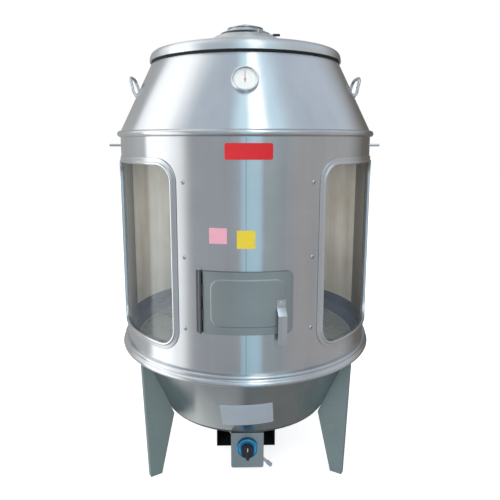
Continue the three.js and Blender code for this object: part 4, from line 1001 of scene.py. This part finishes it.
# %% Pan, band and spreader
PAN_SECTION = [(396.4, 475.8), (379.4, 475.8), (366.4, 445.8), (140, 445.8), (140, 501.3), (141.5, 501.3),
               (141.5, 447.3), (364.9, 447.3), (377.9, 477.3), (396.4, 477.3)]
pan = turned(eased(PAN_SECTION, 5, 4), 224)
PAN_WALL = 366
for face in pan.faces:
    centre = face.calc_center_median()
    face.material_index = int(math.hypot(centre.x, centre.y) > PAN_WALL * MM)
shown(pan, "drip_pan_pressed", [pan_steel, blue_film], "oven", "steel", "drip_pan", sharp=40)
band = turned(eased([(385.2, 474), (398.2, 474), (398.2, 511), (396.7, 511), (396.7, 475.5), (385.2, 475.5)],
                    0.5, 2), 224)
for step in range(12):
    angle = math.radians(15 + 30 * step)
    way, rivet_height = Vector((math.sin(angle), -math.cos(angle), 0)), Vector((0, 0, 498))
    bar(band, way * 397 + rivet_height, way * 394.6 + rivet_height, 4)
shown(band, "pan_band_rolled", blue_film, "oven", "blue_film", "pan_band", sharp=40)
spreader = turned([(0, 554.8), (166, 529.8), (166.4, 530.6), (166, 531.3), (80, 544.6), (8, 555.4),
                   (0, 556.3)], 128)
for x, y in spaced(153, 3):
    bar(spreader, (x, y, 447.6), (x, y, 533), 4)
shown(spreader, "flame_spreader_cone", black_iron, "oven", "black_iron", "flame_spreader", sharp=40)
print("inside: pan, band and spreader")

# %% [markdown]
# The hanging rod passes through the drum and is nutted at both sides. A bent ring for hooks lies on two
# brackets, and clamp bars hold the panes from inside. The bars past the windows' far edges are painted dark,
# a painted shade where the windows turn away to the sides.

# %% Bars and brackets
ROD_END, ROD_HEIGHT = 446, 1081
RING_REACH, RING_HEIGHT, RING_BAR = 300, 1090.3, 5
rod = bmesh.new()
bar(rod, (1 - ROD_END, 0, ROD_HEIGHT), (ROD_END - 1, 0, ROD_HEIGHT), 4, 32)
for side in (1, -1):
    bar(rod, (side * (ROD_END - 1.5), 0, ROD_HEIGHT), (side * ROD_END, 0, ROD_HEIGHT), 3.4, 32)
shown(rod, "hanging_rod_round", plain_steel, "oven", "steel", "hanging_rod", sharp=60)
circle = [(RING_REACH + x, RING_HEIGHT + z) for x, z in spaced(RING_BAR, 20)]
shown(turned(circle, 192), "roasting_ring_bent", plain_steel, "oven", "steel", "roasting_ring", sharp=60)
for name in ("ring_bracket_front", "ring_bracket_rear"):
    softened(name + "_bent", plain_steel, "oven", "steel", name, 0.6)
for name in ("rod_nut_left", "rod_nut_right"):
    softened(name + "_hex", ring_steel, "oven", "dark_steel", name, 0.8)
for side in ("left", "right"):
    softened(f"clamp_{side}_front", plain_steel, "oven", "steel", f"glass_clamp_{side}_front", 0.8)
    softened(f"clamp_{side}_rear", painted_shade_steel, "oven", "steel", f"glass_clamp_{side}_rear", 0.8)
print("inside: rod, ring, brackets and clamps")

# %% [markdown]
# ## Window screws
# Round-headed screws hold the bars behind the glass. Three stand beside each upright edge of a window.

# %% Window screws
SCREW_HEIGHTS = (585, 786, 988)
SCREW_TURNS = (25.7, 84.2)
SCREW_RADIUS, SCREW_RISE = 6.2, 3.6


def screw_head(radius, rise):
    """A domed head on Z, standing on zero, with two thin dark bars across its top as a painted shade of a
    cross recess.
    """
    steps = 7
    turns = [math.radians(90 * i / steps) for i in range(steps)]
    dome_points = [(radius * math.cos(turn), rise * math.sin(turn)) for turn in turns]
    head = turned([(0, -0.6), (radius, -0.6)] + dome_points + [(0, rise)], 24)
    for angle in (20, 110):
        recess_shade_bar = cube(head, (radius * 1.05, 0.22 * radius, 0.25), (0, 0, rise + 0.02))
        bmesh.ops.rotate(head, cent=(0, 0, 0), matrix=Matrix.Rotation(math.radians(angle), 3, "Z"),
                         verts=recess_shade_bar)
        # The cross takes the dark steel, a painted shade of the recess.
        for face in {f for v in recess_shade_bar for f in v.link_faces}:
            face.material_index = 1
    return head


def on_wall(reach, degrees, height):
    """The place of a thing whose Z points straight out of the drum."""
    angle = math.radians(degrees)
    way = Vector((math.sin(angle), -math.cos(angle), 0))
    turn = Matrix(((math.cos(angle), 0, way.x, 0), (math.sin(angle), 0, way.y, 0), (0, 1, 0, 0),
                   (0, 0, 0, 1)))
    return Matrix.Translation((way * reach + Vector((0, 0, height))) * MM) @ turn


screws = bmesh.new()
for side in (1, -1):
    for degrees in SCREW_TURNS:
        for height in SCREW_HEIGHTS:
            head = screw_head(SCREW_RADIUS, SCREW_RISE)
            bmesh.ops.transform(head, matrix=on_wall(DRUM, side * degrees, height), verts=head.verts)
            merged(screws, head)
shown(screws, "window_screws", [ring_steel, dark_steel], "oven", "steel", sharp=50)
print("screws:", len(SCREW_TURNS) * len(SCREW_HEIGHTS) * 2)

# %% [markdown]
# ## Plates and stickers
# A red enamel plate and three plain labels are on the front. Each follows the sheet it is stuck to: those on
# the drum are bent panels, and the silver one is a grid, laid on the bowl's slope between its four corners.

# %% Plates and stickers
plate_bm = stacked(panel((-62, 62, 1048, 1090), 5, 0.3, 400.3, 401.5))
radial_normals(shown(plate_bm, "front_plate", red_enamel, "oven", "red_plate", "name_plate"))
LABELS = {"pink_label": ((-105, -57, 829, 871), label_pink),
          "yellow_label": ((-31, 17, 817, 865), label_yellow)}
for name, (outline, material) in LABELS.items():
    label_bm = stacked(panel(outline, 2, 0.05, 400.25, 400.6, 5))
    radial_normals(shown(label_bm, name, material, "oven", "dial"))

bowl_label = bmesh.new()
bmesh.ops.create_grid(bowl_label, x_segments=24, y_segments=8, size=1)
LABEL_CORNERS = ((-14.9, 247), (15.2, 259), (-14.6, 333), (12.4, 342))
LABEL_STAND = 0.25
low_left, low_right, high_left, high_right = (Vector(corner) for corner in LABEL_CORNERS)
for vert in bowl_label.verts:
    across, up = (vert.co.x + 1) / 2, (vert.co.y + 1) / 2
    degrees, height = low_left.lerp(low_right, across).lerp(high_left.lerp(high_right, across), up)
    reach = BOWL_FLOOR_RADIUS + BOWL_SLOPE * (height - BOWL_FOOT) + LABEL_STAND
    angle = math.radians(degrees)
    vert.co = Vector((reach * math.sin(angle), -reach * math.cos(angle), height)) * MM
bmesh.ops.solidify(bowl_label, geom=bowl_label.faces[:], thickness=-0.0003)
bmesh.ops.recalc_face_normals(bowl_label, faces=bowl_label.faces)
shown(bowl_label, "bowl_label", label_silver, "oven", "steel", sharp=60)
print("plates: red, pink, yellow and silver, all blank")

# %% [markdown]
# ## Thermometer
# A chromed case with a rolled bezel stands square to the cone. Its dial has plain marks, its needle turns.

# %% Thermometer
CONE_ANGLE = math.atan(HOOD_SLOPE)
DIAL_HEIGHT = 1251
DIAL_TURN = math.radians(-1.4)
DIAL_REACH = DRUM - HOOD_SLOPE * (DIAL_HEIGHT - HOOD_FOOT)
MARKS, MARK_END, MARK_TURN = 31, 28.6, 9
facing = (Matrix.Rotation(DIAL_TURN, 4, "Z") @ Matrix.Translation(Vector((0, -DIAL_REACH, DIAL_HEIGHT)) * MM)
          @ Matrix.Rotation(math.radians(90) - CONE_ANGLE, 4, "X"))
case_outline = [(0, 0.5), (35.5, 0.5), (36.5, 1.5), (36.5, 6.6), (36.2, 7.4), (35.4, 7.9), (35.0, 8.3),
                (35.2, 9.0), (35.4, 10.4), (35.0, 11.2), (34.2, 11.5), (33.2, 11.3), (32.4, 10.6),
                (32.0, 9.6), (34.5, 9.4), (34.5, 2.5), (0, 2.5)]
shown(turned(case_outline, 128, facing), "thermometer_case_spun", chrome, "oven", "chrome",
      "thermometer_case", sharp=40)
dial = turned([(0, 2.8), (34.2, 2.8), (34.2, 3.8), (0, 3.8)], 96, facing)
for mark in range(MARKS):
    width, length = (0.3, 1.8) if mark % 5 else (0.5, 3.6)
    tick = bmesh.new()
    verts = cube(tick, (width, length, 0.08), (0, MARK_END - length / 2, 3.82))
    turn = Matrix.Rotation(math.radians(135 - MARK_TURN * mark), 3, "Z")
    bmesh.ops.rotate(tick, cent=(0, 0, 0), matrix=turn, verts=verts)
    bmesh.ops.transform(tick, matrix=facing, verts=verts)
    merged(dial, tick, 1)
shown(dial, "thermometer_dial_printed", [dial_white, dial_grey], "oven", "dial", "thermometer_dial", sharp=40)
pane = turned(eased([(0, 7.0), (34.2, 7.0), (34.2, 8.5), (0, 8.5)], 0.3, 2), 96, facing)
shown(pane, "thermometer_pane", window_glass, "oven", "glass", "thermometer_glass", sharp=40)
softened("thermometer_needle_cut", needle_red, "needle", "needle", "thermometer_needle", 0.15)
stem_bm = turned(eased([(0, -90), (4.2, -90), (5, -88), (5, 0.2), (0, 0.2)], 0.6, 2), 32, facing)
shown(stem_bm, "thermometer_stem_turned", plain_steel, "oven", "steel", "thermometer_stem", sharp=40)
print("thermometer:", MARKS, "marks on the dial")

# %% [markdown]
# ## Carry handles
# Each handle is a round bar bent to a wide U and welded to the cone. A curve with a round section follows the
# frame's own path, and a short bead of weld stands round each root.

# %% Carry handles
HANDLE_HEIGHT, HANDLE_HALF, HANDLE_BAR = 1236, 52, 4.8
HANDLE_OUT, HANDLE_UP = 14, 56
HANDLE_FOOT = DRUM - HOOD_SLOPE * (HANDLE_HEIGHT - HOOD_FOOT)
HANDLE_SHARES = [(0.1, 1), (0.45, 1), (0.8, 0.92), (0.97, 0.6), (1, 0)]


def tube(name, points, radius):
    """A round tube along a smooth line, as a bmesh; the points are in millimetres."""
    curve = bpy.data.curves.new(name, "CURVE")
    curve.dimensions = "3D"
    curve.bevel_depth = radius * MM
    curve.bevel_resolution = 6
    curve.resolution_u = 8
    curve.use_fill_caps = True
    spline = curve.splines.new("BEZIER")
    spline.bezier_points.add(len(points) - 1)
    for knot, point in zip(spline.bezier_points, points):
        knot.co = Vector(point) * MM
        knot.handle_left_type = knot.handle_right_type = "AUTO"
    holder = bpy.data.objects.new(name, curve)
    scene.collection.objects.link(holder)
    bpy.context.view_layer.update()
    mesh = bpy.data.meshes.new_from_object(holder.evaluated_get(bpy.context.evaluated_depsgraph_get()))
    bm = bmesh.new()
    bm.from_mesh(mesh)
    bpy.data.objects.remove(holder)
    bpy.data.curves.remove(curve)
    bpy.data.meshes.remove(mesh)
    bmesh.ops.remove_doubles(bm, verts=bm.verts, dist=0.000001)
    bmesh.ops.recalc_face_normals(bm, faces=bm.faces)
    return bm


for side, label in ((1, "right"), (-1, "left")):
    near = [(HANDLE_FOOT + HANDLE_BAR + HANDLE_OUT * rise, -HANDLE_HALF * span,
             HANDLE_HEIGHT + HANDLE_UP * rise) for rise, span in HANDLE_SHARES]
    far = [(x, -y, z) for x, y, z in reversed(near[:-1])]
    root = [(HANDLE_FOOT - 2.5, y, HANDLE_HEIGHT - 2) for y in (-HANDLE_HALF, HANDLE_HALF)]
    handle = tube("handle", [root[0]] + near + far + [root[1]], HANDLE_BAR)
    for y in (-HANDLE_HALF, HANDLE_HALF):
        weld = turned(eased([(4.4, -1.5), (7.6, -1.5), (7.0, 0.6), (5.6, 2.2), (4.4, 2.8)], 0.8, 3), 32)
        lean = (Matrix.Translation(Vector((HANDLE_FOOT + 0.6, y, HANDLE_HEIGHT + 0.4)) * MM)
                @ Matrix.Rotation(math.radians(60), 4, "Y"))
        bmesh.ops.transform(weld, matrix=lean, verts=weld.verts)
        merged(handle, weld)
    if side < 0:
        bmesh.ops.rotate(handle, cent=(0, 0, 0), matrix=Matrix.Rotation(math.pi, 3, "Z"), verts=handle.verts)
    shown(handle, f"carry_handle_{label}_bent", ring_steel, "oven", "steel", f"carry_handle_{label}",
          sharp=60)
print("handles: 2, each", 2 * HANDLE_HALF, "between its roots")

# %% [markdown]
# ## Legs
# The legs are folded from painted plate. The frame's own folded shape is right, so its edges are only eased.

# %% Legs
for name in ("leg_left", "leg_right", "leg_rear"):
    softened(name + "_folded", leg_paint, "oven", "leg_paint", name, 1.2, 3)
print("legs: 3")

# %% [markdown]
# ## Gas burner and control
# A cast burner head with rings of jets stands in a black sheet box under the bowl. The gas comes in through a
# bent pipe. The control box in front carries the valve, and the knob turns in a blue ring. The pilot tube and
# the valve's stem keep the frame's shape and take the brass.

# %% Burner
head_points = [(0, 214), (77.9, 214), (82, 223), (81, 230), (78.7, 236.5), (72, 241), (57.4, 244), (0, 244)]
burner = turned(head_points, 128)
for reach, count, low in ((74, 40, 239.0), (62, 32, 243.0), (48, 24, 243.0)):
    for x, y in spaced(reach, count):
        bar(burner, (x, y, low - 2), (x, y, low + 0.9), 1.8, 8)
shown(burner, "burner_head_cast", black_iron, "oven", "black_iron", "burner_head", sharp=40)
softened("burner_box_folded", black_sheet, "oven", "black_sheet", "burner_box", 0.6)
softened("burner_bar_bent", black_sheet, "oven", "black_sheet", "burner_bar", 0.6)
softened("mixing_tube_cast", black_iron, "oven", "black_iron", "mixing_tube", 1.0)
softened("valve_body_cast", brass, "oven", "brass", "valve_body", 1.2, 3)
softened("gas_pipe_joined", brass, "oven", "brass", "gas_pipe", 0.5)
VALVE, INLET_PLANE = 168.5, -258
INLET_PATH = [(20.3, -10), (30, -10), (30, -33), (50, -53), (63, -65), (76, -77)]
inlet = tube("inlet", [(x, INLET_PLANE, VALVE + fall) for x, fall in INLET_PATH], 4.5)
bar(inlet, (63, INLET_PLANE, VALVE - 65), (74.7, INLET_PLANE, VALVE - 75.8), 6.2, 28)
shown(inlet, "gas_inlet_bent", plain_steel, "oven", "steel", "gas_inlet_pipe", sharp=60)
for name in ("pilot_tube", "valve_stem"):
    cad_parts[name].material_slots[0].material = brass
print("burner, gas pipes and valve")

# %% [markdown]
# The knob is a moulded disc with a raised bar across it for the fingers. The bar's front edges are bevelled,
# and a white mark on it shows where the tap stands.

# %% Control box and knob
softened("control_box_folded", panel_steel, "oven", "steel", "control_box", 0.8, 3)
knob_place = Matrix.Translation(Vector((0, 0, VALVE)) * MM) @ Matrix.Rotation(math.radians(90), 4, "X")
skirt_points = [(4.4, 286), (31, 286), (31, 290.2), (30.4, 291), (29.4, 291), (29, 290.4), (27.5, 288.4),
                (20, 288), (4.4, 288)]
shown(turned(eased(skirt_points, 0.4, 2), 128, knob_place), "knob_ring", blue_ring, "knob", "blue_metal",
      "knob_skirt", sharp=50)
body = turned([(4.4, 288.3), (20.5, 288.3), (20.5, 290), (19.8, 305), (18.6, 308.4), (16.5, 309.3),
               (0, 309.3), (0, 300.5), (4.4, 300.5)], 128, knob_place)
BAR_MIDDLE, BAR_DEPTH = 310.3, 14
grip_bar = bmesh.new()
cube(grip_bar, (10, BAR_DEPTH, 41), (0, -BAR_MIDDLE, VALVE))
front = -(BAR_MIDDLE + BAR_DEPTH / 2) * MM
front_edges = [edge for edge in grip_bar.edges if all(abs(v.co.y - front) < SAME_CORNER for v in edge.verts)]
bmesh.ops.bevel(grip_bar, geom=front_edges, offset=2.5 * MM, offset_type="OFFSET", segments=4, profile=0.5,
                affect="EDGES", material=-1)
merged(body, grip_bar)
mark = bmesh.new()
cube(mark, (1.8, 0.3, 11), (0, -317.25, VALVE + 14.5))
merged(body, mark, 1)
shown(body, "knob_moulded", [black_plastic, pointer_white], "knob", "black_plastic", "knob", sharp=45)
print("control box and knob")
